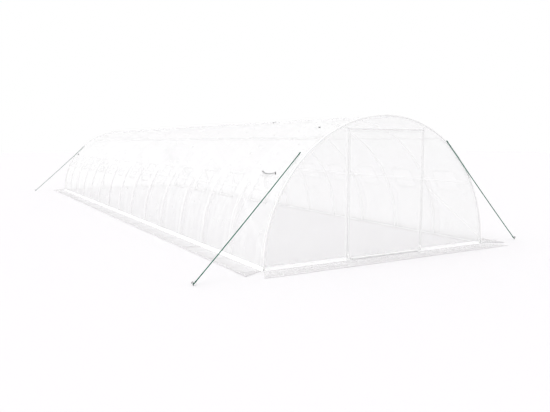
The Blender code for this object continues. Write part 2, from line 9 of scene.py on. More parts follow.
import logging
import math
from dataclasses import dataclass, field
from enum import Enum
from typing import Callable, Iterable, Sequence

import bmesh
import bpy
from mathutils import Matrix, Vector, noise


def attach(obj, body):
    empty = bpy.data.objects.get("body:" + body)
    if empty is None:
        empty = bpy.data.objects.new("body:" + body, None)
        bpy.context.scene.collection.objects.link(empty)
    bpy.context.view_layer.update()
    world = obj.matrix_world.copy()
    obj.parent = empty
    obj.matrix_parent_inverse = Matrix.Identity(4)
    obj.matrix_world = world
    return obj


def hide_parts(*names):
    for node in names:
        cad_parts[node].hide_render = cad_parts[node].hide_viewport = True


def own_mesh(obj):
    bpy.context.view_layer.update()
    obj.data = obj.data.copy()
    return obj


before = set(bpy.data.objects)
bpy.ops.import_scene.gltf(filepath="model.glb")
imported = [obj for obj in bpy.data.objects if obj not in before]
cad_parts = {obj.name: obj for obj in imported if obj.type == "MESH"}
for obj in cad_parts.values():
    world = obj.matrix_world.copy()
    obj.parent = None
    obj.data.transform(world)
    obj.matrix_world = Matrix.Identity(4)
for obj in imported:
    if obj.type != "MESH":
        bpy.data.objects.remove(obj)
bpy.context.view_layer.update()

LOG = logging.getLogger("greenhouse_tent")

Point = Sequence[float]
Place = Callable[[Vector], Vector]


class Side(Enum):
    """The two long sides, as the sign of their X."""

    LEFT = -1
    RIGHT = 1

    @property
    def word(self) -> str:
        """The side's word in piece names."""
        return self.name.lower()


class End(Enum):
    """The two ends, as the sign of their Y."""

    FRONT = -1
    BACK = 1

    @property
    def word(self) -> str:
        """The end's word in piece names."""
        return self.name.lower()


def smoothstep(low: float, high: float, value: float) -> float:
    """Return how far a value has come from low to high, eased at both ends.

    Args:
        low: The value that gives 0.
        high: The value that gives 1.
        value: The value to ease.

    Returns:
        A share from 0 to 1.
    """
    share = min(1.0, max(0.0, (value - low) / (high - low)))
    return share * share * (3.0 - 2.0 * share)


def bow(share: float) -> float:
    """Return the height of a bow that is 0 at both of its ends and 1 in the middle."""
    return 4.0 * share * (1.0 - share)


class Wiring:
    """Places the nodes of one tree and joins their sockets."""

    def __init__(self, tree: bpy.types.NodeTree) -> None:
        """Start with a tree, whose own nodes stay."""
        self.tree = tree

    def node(self, kind: str, sockets: dict | None = None, **settings: object) -> bpy.types.Node:
        """Add a node.

        Args:
            kind: The node's type name without its ShaderNode prefix.
            sockets: Input names or numbers with a value, or an output socket to join.
            **settings: Properties of the node.

        Returns:
            The new node.
        """
        new = self.tree.nodes.new("ShaderNode" + kind)
        for key, value in settings.items():
            setattr(new, key, value)
        for key, value in (sockets or {}).items():
            self.join(value, new.inputs[key])
        return new

    def join(self, value: object, target: bpy.types.NodeSocket) -> None:
        """Join an output socket to an input, or set the input to a plain value."""
        if isinstance(value, bpy.types.NodeSocket):
            self.tree.links.new(value, target)
        else:
            target.default_value = value

    def sum(self, operation: str, *values: object, clamp: bool = False) -> bpy.types.NodeSocket:
        """Add a Math node.

        Args:
            operation: The node's operation.
            *values: Its inputs in order, as numbers or sockets.
            clamp: Whether the result is held from 0 to 1.

        Returns:
            The node's output socket.
        """
        new = self.node("Math", dict(enumerate(values)), operation=operation)
        new.use_clamp = clamp
        return new.outputs[0]

    def noise(self, vector: object, scale: float, detail: float = 3.0, rough: float = 0.5) -> bpy.types.NodeSocket:
        """Add a Noise Texture and return its value socket.

        Args:
            vector: The socket of the place that the noise reads.
            scale: Lumps to the metre.
            detail: Octaves.
            rough: Roughness of the finer octaves.

        Returns:
            The noise's value, from 0 to 1.
        """
        sockets = {"Vector": vector, "Scale": scale, "Detail": detail, "Roughness": rough}
        return self.node("TexNoise", sockets).outputs[0]

    def spread(self, value: object, low: object, high: object, out_low: float = 0.0, out_high: float = 1.0) -> bpy.types.NodeSocket:
        """Map a value from one range to another, held inside it.

        Args:
            value: The socket to map.
            low: The value that gives out_low.
            high: The value that gives out_high.
            out_low: The first end of the new range.
            out_high: The second end of the new range.

        Returns:
            The mapped value's socket.
        """
        sockets = {"Value": value, 1: low, 2: high, 3: out_low, 4: out_high}
        return self.node("MapRange", sockets, clamp=True).outputs[0]

    def blend(self, share: object, first: object, second: object) -> bpy.types.NodeSocket:
        """Mix two colours by a share and return the mixed colour's socket."""
        new = self.node("Mix", data_type="RGBA")
        for number, value in ((0, share), (6, first), (7, second)):
            self.join(value, new.inputs[number])
        return new.outputs[2]


class Piece:
    """One piece of the tent while it is shaped: a bmesh that ends as an object with its place in its mesh."""

    def __init__(self, name: str) -> None:
        """Start an empty piece."""
        self.name = name
        self.bm = bmesh.new()
        self.flat_uv = self.bm.loops.layers.uv.new("flat")

    def tube(self, radius: float, length: float, steps: int, sides: int, turns: float = 0.0,
             offset: float = 0.0, capped: bool = True) -> list[bmesh.types.BMVert]:
        """Spin a tube up +Z from the origin, straight or wound as a helix.

        Args:
            radius: The tube's own radius.
            length: How far it climbs.
            steps: Rings along it.
            sides: Sides of its section.
            turns: Turns of the helix, 0 for a straight tube.
            offset: Distance of the tube's centre from the axis.
            capped: Whether its two ends are closed.

        Returns:
            The tube's vertices.
        """
        bm = self.bm
        before = set(bm.verts)
        ring = bmesh.ops.create_circle(bm, segments=sides, radius=radius)["verts"]
        bmesh.ops.translate(bm, verts=ring, vec=(offset, 0.0, 0.0))
        edges = list({edge for vertex in ring for edge in vertex.link_edges})
        bmesh.ops.spin(bm, geom=ring + edges, cent=(0.0, 0.0, 0.0), axis=(0.0, 0.0, 1.0),
                       dvec=(0.0, 0.0, length / steps), angle=math.tau * turns, steps=steps)
        made = [vertex for vertex in bm.verts if vertex not in before]
        if capped:
            open_edges = {edge for vertex in made for edge in vertex.link_edges if edge.is_boundary}
            bmesh.ops.holes_fill(bm, edges=list(open_edges), sides=sides)
        return made

    def sheet(self, columns: Sequence[float], rows: Sequence[float], place: Callable[[float, float], Vector],
              outward: Callable[[Vector], Vector], hole: Callable[[float, float], bool] | None = None) -> None:
        """Lay a grid onto a surface, with its flat UV map in metres.

        Args:
            columns: The grid's places in one direction, in metres.
            rows: Its places in the other, in metres.
            place: Gives the point of a column and a row.
            outward: Gives the direction that the sheet faces at a point.
            hole: Tells whether the middle of a face lies in an opening.
        """
        bm = self.bm
        across, up = len(columns) - 1, len(rows) - 1
        made = bmesh.ops.create_grid(bm, x_segments=across, y_segments=up, size=0.5)["verts"]
        flat = {}
        for vertex in made:
            column = columns[round((vertex.co.x + 0.5) * across)]
            row = rows[round((vertex.co.y + 0.5) * up)]
            flat[vertex] = (column, row)
            vertex.co = place(column, row)
        faces = list({face for vertex in made for face in vertex.link_faces})
        spare = []
        for face in faces:
            corners = [flat[loop.vert] for loop in face.loops]
            for loop, corner in zip(face.loops, corners):
                loop[self.flat_uv].uv = corner
            middle = [sum(values) / len(corners) for values in zip(*corners)]
            if hole is not None and hole(*middle):
                spare.append(face)
        bmesh.ops.delete(bm, geom=spare, context="FACES")
        bm.normal_update()
        kept = [face for face in faces if face.is_valid]
        if sum(face.normal.dot(outward(face.calc_center_median())) for face in kept) < 0.0:
            bmesh.ops.reverse_faces(bm, faces=kept)

    def block(self, size: Point, place: Matrix, soft: float = 0.0) -> list[bmesh.types.BMVert]:
        """Add a block with softened edges.

        Args:
            size: Its size in its own three directions.
            place: Where it lies and how it is turned.
            soft: How much its edges are softened.

        Returns:
            The block's vertices.
        """
        bm = self.bm
        before = set(bm.verts)
        made = bmesh.ops.create_cube(bm, size=1.0, matrix=place @ Matrix.Diagonal((*size, 1.0)))["verts"]
        if soft:
            edges = list({edge for vertex in made for edge in vertex.link_edges})
            bmesh.ops.bevel(bm, geom=edges, offset=soft, segments=2, profile=0.5, affect="EDGES", material=-1)
        return [vertex for vertex in bm.verts if vertex not in before]

    def ring(self, major: float, minor: float, place: Matrix, steps: int = 20, sides: int = 8) -> None:
        """Add a closed ring of round wire.

        Args:
            major: Radius of the ring's middle line.
            minor: Radius of the wire.
            place: Where it lies, with its axis along its own Z.
            steps: Steps round the ring.
            sides: Sides of the wire.
        """
        bm = self.bm
        before = set(bm.verts)
        circle = bmesh.ops.create_circle(bm, segments=sides, radius=minor,
                                         matrix=Matrix.Translation((major, 0.0, 0.0)) @ Matrix.Rotation(math.pi / 2, 4, "X"))["verts"]
        edges = list({edge for vertex in circle for edge in vertex.link_edges})
        bmesh.ops.spin(bm, geom=circle + edges, cent=(0.0, 0.0, 0.0), axis=(0.0, 0.0, 1.0), angle=math.tau,
                       steps=steps, use_merge=True)
        bmesh.ops.transform(bm, matrix=place, verts=[vertex for vertex in bm.verts if vertex not in before])

    def turned(self, end: End) -> None:
        """Turn the whole piece round to the back end, if that is where it goes."""
        if end is End.BACK:
            bmesh.ops.rotate(self.bm, verts=self.bm.verts, cent=(0.0, 0.0, 0.0), matrix=Matrix.Rotation(math.pi, 3, "Z"))

    def bend(self, vertices: Iterable[bmesh.types.BMVert], path: Sequence[Vector]) -> None:
        """Lay vertices that were shaped along +Z onto a path, by their height.

        Args:
            vertices: The vertices, whose Z is their distance along the path.
            path: The path's points.
        """
        rail = Rail(path)
        for vertex in vertices:
            vertex.co = rail.place(vertex.co)

    def done(self, finish: bpy.types.Material, body: str = "root",
             smooth: float = 40.0, stands_for: Sequence[str] = (), thickness: float = 0.0) -> bpy.types.Object:
        """Turn the piece into an object that rides on a body.

        Args:
            finish: Its material.
            body: The body that it moves with.
            smooth: The angle above which an edge stays sharp.
            stands_for: The nodes that it replaces.
            thickness: Thickness of a sheet, laid on behind its face, or 0 for a closed shape.

        Returns:
            The finished object.
        """
        if not thickness:
            bmesh.ops.recalc_face_normals(self.bm, faces=self.bm.faces)
        mesh = bpy.data.meshes.new(self.name)
        self.bm.to_mesh(mesh)
        self.bm.free()
        mesh.shade_smooth()
        mesh.set_sharp_from_angle(angle=math.radians(smooth))
        mesh.materials.append(finish)
        item = bpy.data.objects.new(self.name, mesh)
        bpy.context.scene.collection.objects.link(item)
        if thickness:
            wall = item.modifiers.new("thickness", "SOLIDIFY")
            wall.thickness = thickness
            wall.offset = -1.0
            wall.use_even_offset = True
        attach(item, body)
        if stands_for:
            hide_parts(*stands_for)
        return item


class Rail:
    """A path with a steady pair of side directions, for tubes and bands that follow it."""

    def __init__(self, points: Sequence[Vector]) -> None:
        """Measure the path and carry its side directions along without twist."""
        self.points = [Vector(point) for point in points]
        self.reach = [0.0]
        for first, second in zip(self.points, self.points[1:]):
            self.reach.append(self.reach[-1] + (second - first).length)
        tangents = []
        for index in range(len(self.points)):
            low = self.points[max(0, index - 1)]
            high = self.points[min(len(self.points) - 1, index + 1)]
            tangents.append((high - low).normalized())
        side = tangents[0].orthogonal().normalized()
        self.frames = []
        previous = tangents[0]
        for tangent in tangents:
            side = previous.rotation_difference(tangent) @ side
            side = (side - tangent * side.dot(tangent)).normalized()
            self.frames.append((side, tangent.cross(side), tangent))
            previous = tangent
        self.index = 0

    def place(self, local: Vector) -> Vector:
        """Return where a point lies whose Z is a distance along the path."""
        along = min(max(local.z, 0.0), self.reach[-1])
        while self.index > 0 and self.reach[self.index] > along:
            self.index -= 1
        while self.index < len(self.reach) - 2 and self.reach[self.index + 1] < along:
            self.index += 1
        low, high = self.reach[self.index], self.reach[self.index + 1]
        share = (along - low) / max(high - low, 1e-9)
        centre = self.points[self.index].lerp(self.points[self.index + 1], share)
        side = self.frames[self.index][0].lerp(self.frames[self.index + 1][0], share)
        up = self.frames[self.index][1].lerp(self.frames[self.index + 1][1], share)
        return centre + side * local.x + up * local.y + self.frames[self.index][2] * (local.z - along)

    @property
    def length(self) -> float:
        """The path's length."""
        return self.reach[-1]


@dataclass(frozen=True)
class RopeFinish:
    """Twisted green rope: fibres along each strand, a little dust, no gloss."""

    dark: Point = (0.0, 0.062, 0.035, 1.0)
    light: Point = (0.0, 0.205, 0.120, 1.0)
    fibre_scale: float = 1400.0

    def make(self) -> bpy.types.Material:
        """Return the rope's material."""
        material = bpy.data.materials.new("green_rope")
        material.use_nodes = True
        wires = Wiring(material.node_tree)
        shader = material.node_tree.nodes["Principled BSDF"]
        place = wires.node("TexCoord").outputs["Object"]
        fibre = wires.noise(place, self.fibre_scale, 2.0, 0.6)
        wear = wires.noise(place, 9.0, 4.0, 0.6)
        tone = wires.sum("ADD", wires.sum("MULTIPLY", fibre, 0.7), wires.sum("MULTIPLY", wear, 0.4))
        colour = wires.blend(wires.spread(tone, 0.35, 0.80), self.dark, self.light)
        wires.join(colour, shader.inputs["Base Color"])
        wires.join(wires.spread(fibre, 0.2, 0.8, 0.70, 0.95), shader.inputs["Roughness"])
        shader.inputs["Specular IOR Level"].default_value = 0.0
        bump = wires.node("Bump", {"Height": fibre, "Strength": 0.35, "Distance": 0.0006})
        wires.join(bump.outputs[0], shader.inputs["Normal"])
        return material


@dataclass(frozen=True)
class PegFinish:
    """Dark drawn steel of the pegs, dulled where they meet the ground."""

    steel: Point = (0.060, 0.062, 0.064, 1.0)
    dull: Point = (0.105, 0.085, 0.070, 1.0)

    def make(self) -> bpy.types.Material:
        """Return the pegs' material."""
        material = bpy.data.materials.new("peg_steel")
        material.use_nodes = True
        wires = Wiring(material.node_tree)
        shader = material.node_tree.nodes["Principled BSDF"]
        place = wires.node("TexCoord").outputs["Object"]
        specks = wires.noise(place, 420.0, 4.0, 0.65)
        height = wires.node("SeparateXYZ", {0: place}).outputs["Z"]
        low = wires.spread(height, 0.0, 0.03, 1.0, 0.1)
        rust = wires.sum("MULTIPLY", wires.spread(specks, 0.42, 0.68), low)
        wires.join(wires.blend(rust, self.steel, self.dull), shader.inputs["Base Color"])
        wires.join(wires.spread(specks, 0.3, 0.7, 0.32, 0.62), shader.inputs["Roughness"])
        wires.join(wires.spread(rust, 0.0, 1.0, 0.9, 0.2), shader.inputs["Metallic"])
        bump = wires.node("Bump", {"Height": specks, "Strength": 0.2, "Distance": 0.0004})
        wires.join(bump.outputs[0], shader.inputs["Normal"])
        return material


def patch_group(name: str, inputs: dict[str, tuple[str, object]], outputs: Sequence[str]) -> tuple[Wiring, bpy.types.Node, bpy.types.Node]:
    """Start a node group for an effect that several finishes share.

    Args:
        name: The effect's name.
        inputs: Input names with a socket type and a first value.
        outputs: Names of the value outputs.

    Returns:
        The group's wiring, its input node and its output node.
    """
    tree = bpy.data.node_groups.new(name, "ShaderNodeTree")
    for word, (kind, value) in inputs.items():
        socket = tree.interface.new_socket(word, in_out="INPUT", socket_type="NodeSocket" + kind)
        if value is not None:
            socket.default_value = value
    for word in outputs:
        tree.interface.new_socket(word, in_out="OUTPUT", socket_type="NodeSocketFloat")
    return Wiring(tree), tree.nodes.new("NodeGroupInput"), tree.nodes.new("NodeGroupOutput")


class Effects:
    """The effects that several finishes share, each a node group made once."""

    def __init__(self) -> None:
        """Make every group."""
        self.scrim = self.make_scrim()
        self.crinkle = self.make_crinkle()
        self.soil_and_shade = self.make_soil_and_shade()
        self.settled = self.make_settled()
        self.tension = self.make_hoop_bands()
        self.pleating = self.make_pleating()
        self.spangle = self.make_spangle()
        self.weave = self.make_weave()

    def make_scrim(self) -> bpy.types.NodeTree:
        """Make the square net of threads inside the film: Threads is 1 on a thread."""
        wires, given, result = patch_group("scrim_threads", {
            "Flat": ("Vector", None), "Pitch": ("Float", 0.009), "Width": ("Float", 0.16)}, ["Threads"])
        flat = wires.node("SeparateXYZ", {0: given.outputs["Flat"]})
        lines = []
        for axis in ("X", "Y"):
            turns = wires.sum("DIVIDE", flat.outputs[axis], given.outputs["Pitch"])
            off = wires.sum("ABSOLUTE", wires.sum("SUBTRACT", wires.sum("FRACT", turns), 0.5))
            edge = wires.sum("MULTIPLY", given.outputs["Width"], 0.5)
            lines.append(wires.spread(off, wires.sum("MULTIPLY", edge, 0.5), edge, 1.0, 0.0))
        wires.join(wires.sum("MAXIMUM", *lines), result.inputs["Threads"])
        return wires.tree

    def make_crinkle(self) -> bpy.types.NodeTree:
        """Make the small creases of handled film: Height is the crease, Gloss a change in roughness."""
        wires, given, result = patch_group("film_crinkle", {
            "Place": ("Vector", None), "Scale": ("Float", 9.0), "Creases": ("Float", 0.6)}, ["Height", "Gloss"])
        place, scale = given.outputs["Place"], given.outputs["Scale"]
        bent = wires.node("VectorMath", {0: place, 1: wires.node("VectorMath", {
            0: wires.node("TexNoise", {"Vector": place, "Scale": scale, "Detail": 2.0}).outputs["Color"],
            "Scale": 0.12}, operation="SCALE").outputs[0]}, operation="ADD").outputs[0]
        cells = wires.node("TexVoronoi", {"Vector": bent, "Scale": scale}, feature="DISTANCE_TO_EDGE").outputs[0]
        crease = wires.spread(cells, 0.0, 0.12, 1.0, 0.0)
        soft = wires.noise(place, wires.sum("MULTIPLY", scale, 0.55), 4.0, 0.55)
        height = wires.sum("ADD", wires.sum("MULTIPLY", crease, given.outputs["Creases"]), soft)
        wires.join(height, result.inputs["Height"])
        wires.join(wires.noise(place, wires.sum("MULTIPLY", scale, 2.3), 3.0), result.inputs["Gloss"])
        return wires.tree

    def make_soil_and_shade(self) -> bpy.types.NodeTree:
        """Make the haze of dried drops and splashed dust, with Soil thickest near the ground, and the painted shade of
        the skirts lying on the ground beyond the walls.
        """
        wires, given, result = patch_group("splashed_dust", {
            "Place": ("Vector", None), "Reach": ("Float", 0.35), "Amount": ("Float", 0.5)}, ["Soil", "Spots", "Trodden"])
        place = given.outputs["Place"]
        parts = wires.node("SeparateXYZ", {0: place})
        height = parts.outputs["Z"]
        # painted shade: greyer from the foot of the walls out to the skirts' edge
        beside = wires.sum("SUBTRACT", wires.sum("ABSOLUTE", parts.outputs["X"]), 2.0)
        before = wires.sum("SUBTRACT", wires.sum("ABSOLUTE", parts.outputs["Y"]), 7.02)
        out = wires.sum("MAXIMUM", beside, before)
        patchy = wires.spread(wires.noise(place, 3.4, 3.0, 0.6), 0.30, 0.70, 0.6, 1.0)
        wires.join(wires.sum("MULTIPLY", wires.spread(out, 0.04, 0.30), patchy), result.inputs["Trodden"])
        low = wires.spread(height, 0.0, given.outputs["Reach"], 1.0, 0.0)
        cloud = wires.spread(wires.noise(place, 2.6, 5.0, 0.6), 0.38, 0.72)
        fine = wires.spread(wires.noise(place, 38.0, 4.0, 0.65), 0.45, 0.75)
        spots = wires.spread(wires.node("TexVoronoi", {"Vector": place, "Scale": 21.0}).outputs[0], 0.05, 0.16, 1.0, 0.0)
        all_over = wires.sum("MULTIPLY", cloud, 0.12)
        near = wires.sum("MULTIPLY", low, wires.sum("ADD", wires.sum("MULTIPLY", fine, 0.6), 0.4))
        soil = wires.sum("MULTIPLY", wires.sum("ADD", all_over, near), given.outputs["Amount"], clamp=True)
        wires.join(soil, result.inputs["Soil"])
        wires.join(wires.sum("MULTIPLY", spots, wires.sum("MULTIPLY", cloud, given.outputs["Amount"])),
                   result.inputs["Spots"])
        return wires.tree

    def make_settled(self) -> bpy.types.NodeTree:
        """Make the grey dust that settles where film faces the sky, well above the ground: Dust is its cover."""
        wires, given, result = patch_group("settled_dust", {
            "Place": ("Vector", None), "Facing": ("Vector", None)}, ["Dust"])
        up = wires.node("SeparateXYZ", {0: given.outputs["Facing"]}).outputs["Z"]
        height = wires.node("SeparateXYZ", {0: given.outputs["Place"]}).outputs["Z"]
        level = wires.sum("MULTIPLY", wires.spread(up, 0.25, 0.95), wires.spread(height, 0.5, 1.3))
        cloud = wires.spread(wires.noise(given.outputs["Place"], 0.9, 2.0, 0.5), 0.36, 0.66, 0.55, 1.0)
        wires.join(wires.sum("MULTIPLY", level, cloud), result.inputs["Dust"])
        return wires.tree

    def make_hoop_bands(self) -> bpy.types.NodeTree:
        """Make the bands at each hoop: painted shade that is 1 just in front of a hoop, and Lapped, which is 1 over
        it.
        """
        wires, given, result = patch_group("hoop_shade_and_lap", {
            "Place": ("Vector", None), "Bay": ("Float", 1.0), "Top": ("Float", 1.15)}, ["Tight", "Lapped"])
        place = given.outputs["Place"]
        parts = wires.node("SeparateXYZ", {0: place})
        lean = wires.noise(wires.node("CombineXYZ", {"Y": wires.sum("MULTIPLY", parts.outputs["Y"], 0.9),
                                                     "Z": wires.sum("MULTIPLY", parts.outputs["Z"], 1.6)}).outputs[0], 1.0, 2.0)
        shift = wires.sum("MULTIPLY", wires.sum("SUBTRACT", lean, 0.5), 0.16)
        turn = wires.sum("FRACT", wires.sum("DIVIDE", wires.sum("ADD", parts.outputs["Y"], shift), given.outputs["Bay"]))
        low = wires.spread(parts.outputs["Z"], wires.sum("MULTIPLY", given.outputs["Top"], 0.8), given.outputs["Top"], 1.0, 0.0)
        strength = wires.spread(wires.noise(place, 0.9, 1.0), 0.35, 0.60, 0.35, 1.0)
        # painted shade: a band just in front of each hoop, fading out towards the top height
        tight = wires.sum("MULTIPLY", wires.spread(turn, 0.78, 0.97), wires.spread(turn, 0.975, 0.992, 1.0, 0.0))
        wires.join(wires.sum("MULTIPLY", wires.sum("MULTIPLY", tight, low), strength), result.inputs["Tight"])
        before = wires.spread(turn, 0.030, 0.055, 1.0, 0.0)
        after = wires.spread(turn, 0.978, 0.992)
        wires.join(wires.sum("MULTIPLY", wires.sum("MAXIMUM", before, after), low), result.inputs["Lapped"])
        return wires.tree

    def make_pleating(self) -> bpy.types.NodeTree:
        """Make the upright pleats of slack film near the ground: Pleats is 1 on the crest of one."""
        wires, given, result = patch_group("slack_pleats", {"Place": ("Vector", None)}, ["Pleats"])
        stretch = wires.node("Mapping", {"Vector": given.outputs["Place"], "Scale": (4.0, 4.0, 0.5)}).outputs[0]
        streaks = wires.spread(wires.noise(stretch, 1.0, 3.0, 0.55), 0.50, 0.66)
        height = wires.node("SeparateXYZ", {0: given.outputs["Place"]}).outputs["Z"]
        low = wires.spread(height, 0.75, 1.15, 1.0, 0.0)
        wires.join(wires.sum("MULTIPLY", streaks, low), result.inputs["Pleats"])
        return wires.tree

    def make_spangle(self) -> bpy.types.NodeTree:
        """Make the crystal flakes of hot-dip zinc: Tone from flake to flake, and their fine Grain."""
        wires, given, result = patch_group("zinc_spangle", {
            "Place": ("Vector", None), "Scale": ("Float", 130.0)}, ["Tone", "Grain"])
        place = given.outputs["Place"]
        flakes = wires.node("TexVoronoi", {"Vector": place, "Scale": given.outputs["Scale"], "Randomness": 1.0})
        tone = wires.node("SeparateColor", {0: flakes.outputs["Color"]}).outputs[0]
        wires.join(tone, result.inputs["Tone"])
        wires.join(wires.noise(place, 900.0, 3.0, 0.6), result.inputs["Grain"])
        return wires.tree

    def make_weave(self) -> bpy.types.NodeTree:
        """Make plain-woven yarn with two lines of stitches: Yarn and Stitch are heights from 0 to 1."""
        wires, given, result = patch_group("woven_yarn", {
            "Flat": ("Vector", None), "Yarn": ("Float", 0.0012), "Stitch": ("Float", 0.006),
            "Edge": ("Float", 0.004), "Width": ("Float", 0.025)}, ["Yarn", "Stitch"])
        flat = wires.node("SeparateXYZ", {0: given.outputs["Flat"]})
        waves = []
        for axis in ("X", "Y"):
            turn = wires.sum("MULTIPLY", wires.sum("DIVIDE", flat.outputs[axis], given.outputs["Yarn"]), math.pi)
            waves.append(wires.sum("SINE", turn))
        yarn = wires.sum("ADD", wires.sum("MULTIPLY", wires.sum("MULTIPLY", *waves), 0.5), 0.5)
        wires.join(yarn, result.inputs["Yarn"])
        across = wires.sum("ABSOLUTE", flat.outputs["Y"])
        line = wires.sum("SUBTRACT", wires.sum("MULTIPLY", given.outputs["Width"], 0.5), given.outputs["Edge"])
        near = wires.spread(wires.sum("ABSOLUTE", wires.sum("SUBTRACT", across, line)), 0.0004, 0.0010, 1.0, 0.0)
        step = wires.sum("FRACT", wires.sum("DIVIDE", flat.outputs["X"], given.outputs["Stitch"]))
        on = wires.spread(wires.sum("ABSOLUTE", wires.sum("SUBTRACT", step, 0.5)), 0.30, 0.40, 1.0, 0.0)
        wires.join(wires.sum("MULTIPLY", near, on), result.inputs["Stitch"])
        return wires.tree


@dataclass(frozen=True)
class FilmFinish:
    """Translucent film with threads inside it, dulled by handling, drops and dust, and darkened by painted shade in
    front of each hoop and out on the skirts.
    """

    name: str
    tint: Point
    soil_and_shade_tint: Point
    cover: float
    thread_cover: float = 0.10
    pitch: float = 0.009
    roughness: float = 0.34
    soil: float = 0.12
    soil_reach: float = 0.14
    crinkle: float = 5.0
    crinkle_depth: float = 0.0003
    dust_cover: float = 0.50
    trodden_cover: float = 0.11
    tight: float = 0.0
    lapped: float = 0.0
    pleats: float = 0.0

    def make(self, effects: Effects) -> bpy.types.Material:
        """Return the film's material.

        Args:
            effects: The shared node groups.

        Returns:
            The material, which reads the sheet's flat UV map for its threads.
        """
        material = bpy.data.materials.new(self.name)
        material.use_nodes = True
        wires = Wiring(material.node_tree)
        shader = material.node_tree.nodes["Principled BSDF"]
        place = wires.node("TexCoord").outputs["Object"]
        flat = wires.node("UVMap", uv_map="flat").outputs[0]
        scrim = wires.node("Group", node_tree=effects.scrim)
        wires.join(flat, scrim.inputs["Flat"])
        scrim.inputs["Pitch"].default_value = self.pitch
        crinkle = wires.node("Group", node_tree=effects.crinkle)
        wires.join(place, crinkle.inputs["Place"])
        crinkle.inputs["Scale"].default_value = self.crinkle
        soil_and_shade = wires.node("Group", node_tree=effects.soil_and_shade)
        wires.join(place, soil_and_shade.inputs["Place"])
        soil_and_shade.inputs["Reach"].default_value = self.soil_reach
        soil_and_shade.inputs["Amount"].default_value = self.soil
        threads, soil = scrim.outputs["Threads"], soil_and_shade.outputs["Soil"]
        settled = wires.node("Group", node_tree=effects.settled)
        wires.join(place, settled.inputs["Place"])
        wires.join(wires.node("NewGeometry").outputs["Normal"], settled.inputs["Facing"])
        grey = wires.sum("MULTIPLY", settled.outputs["Dust"], self.dust_cover)
        # painted shade of the skirts lying on the ground, in both the colour and the cover
        skirt_shade = soil_and_shade.outputs["Trodden"]
        tension = wires.node("Group", node_tree=effects.tension)
        wires.join(place, tension.inputs["Place"])
        # painted shade just in front of each hoop, mixed into the colour with the soil and dust
        painted_hoop_shade = wires.sum("MULTIPLY", tension.outputs["Tight"], self.tight)
        dirt_and_shade = wires.sum("MAXIMUM", wires.sum("MAXIMUM", soil, grey), wires.sum("MULTIPLY", skirt_shade, 0.75))
        colour = wires.blend(wires.sum("MAXIMUM", dirt_and_shade, painted_hoop_shade), self.tint, self.soil_and_shade_tint)
        wires.join(colour, shader.inputs["Base Color"])
        pleating = wires.node("Group", node_tree=effects.pleating)
        wires.join(place, pleating.inputs["Place"])
        loose = wires.sum("MULTIPLY", pleating.outputs["Pleats"], self.pleats)
        drawn = wires.sum("SUBTRACT", wires.sum("MULTIPLY", tension.outputs["Lapped"], self.lapped),
                          wires.sum("MULTIPLY", painted_hoop_shade, 0.06))
        hold = wires.sum("ADD", drawn, loose)
        cover = wires.sum("ADD", wires.sum("MULTIPLY", threads, self.thread_cover),
                          wires.sum("MULTIPLY", soil, 0.10))
        cover = wires.sum("ADD", cover, wires.sum("MULTIPLY", soil_and_shade.outputs["Spots"], 0.06))
        # the painted skirt shade also makes the film more opaque there
        cover = wires.sum("ADD", cover, wires.sum("MULTIPLY", skirt_shade, self.trodden_cover))
        cover = wires.sum("ADD", wires.sum("ADD", cover, hold), self.cover, clamp=True)
        wires.join(cover, shader.inputs["Alpha"])
        gloss = wires.spread(crinkle.outputs["Gloss"], 0.3, 0.7, self.roughness - 0.08, self.roughness + 0.10)
        wires.join(wires.sum("ADD", gloss, wires.sum("MULTIPLY", soil, 0.3)), shader.inputs["Roughness"])
        relief = wires.node("Bump", {"Height": crinkle.outputs["Height"], "Distance": self.crinkle_depth, "Strength": 0.55})
        thread = wires.node("Bump", {"Height": threads, "Distance": 0.00018, "Strength": 0.6, "Normal": relief.outputs[0]})
        wires.join(thread.outputs[0], shader.inputs["Normal"])
        shader.inputs["IOR"].default_value = 1.5
        return material


@dataclass(frozen=True)
class NetFinish:
    """Fine white insect net: round threads with open holes between them."""

    tint: Point = (0.93, 0.93, 0.93, 1.0)
    pitch: float = 0.0020

    def make(self, effects: Effects) -> bpy.types.Material:
        """Return the net's material."""
        material = bpy.data.materials.new("window_net")
        material.use_nodes = True
        wires = Wiring(material.node_tree)
        shader = material.node_tree.nodes["Principled BSDF"]
        place = wires.node("TexCoord").outputs["Object"]
        scrim = wires.node("Group", node_tree=effects.scrim)
        wires.join(wires.node("UVMap", uv_map="flat").outputs[0], scrim.inputs["Flat"])
        scrim.inputs["Pitch"].default_value = self.pitch
        scrim.inputs["Width"].default_value = 0.36
        slack = wires.noise(place, 60.0, 3.0)
        wires.join(wires.blend(slack, (0.86, 0.86, 0.86, 1.0), self.tint), shader.inputs["Base Color"])
        wires.join(wires.spread(scrim.outputs["Threads"], 0.0, 1.0, 0.02, 0.28), shader.inputs["Alpha"])
        wires.join(wires.spread(slack, 0.3, 0.7, 0.55, 0.75), shader.inputs["Roughness"])
        bump = wires.node("Bump", {"Height": scrim.outputs["Threads"], "Distance": 0.0003, "Strength": 0.5})
        wires.join(bump.outputs[0], shader.inputs["Normal"])
        return material


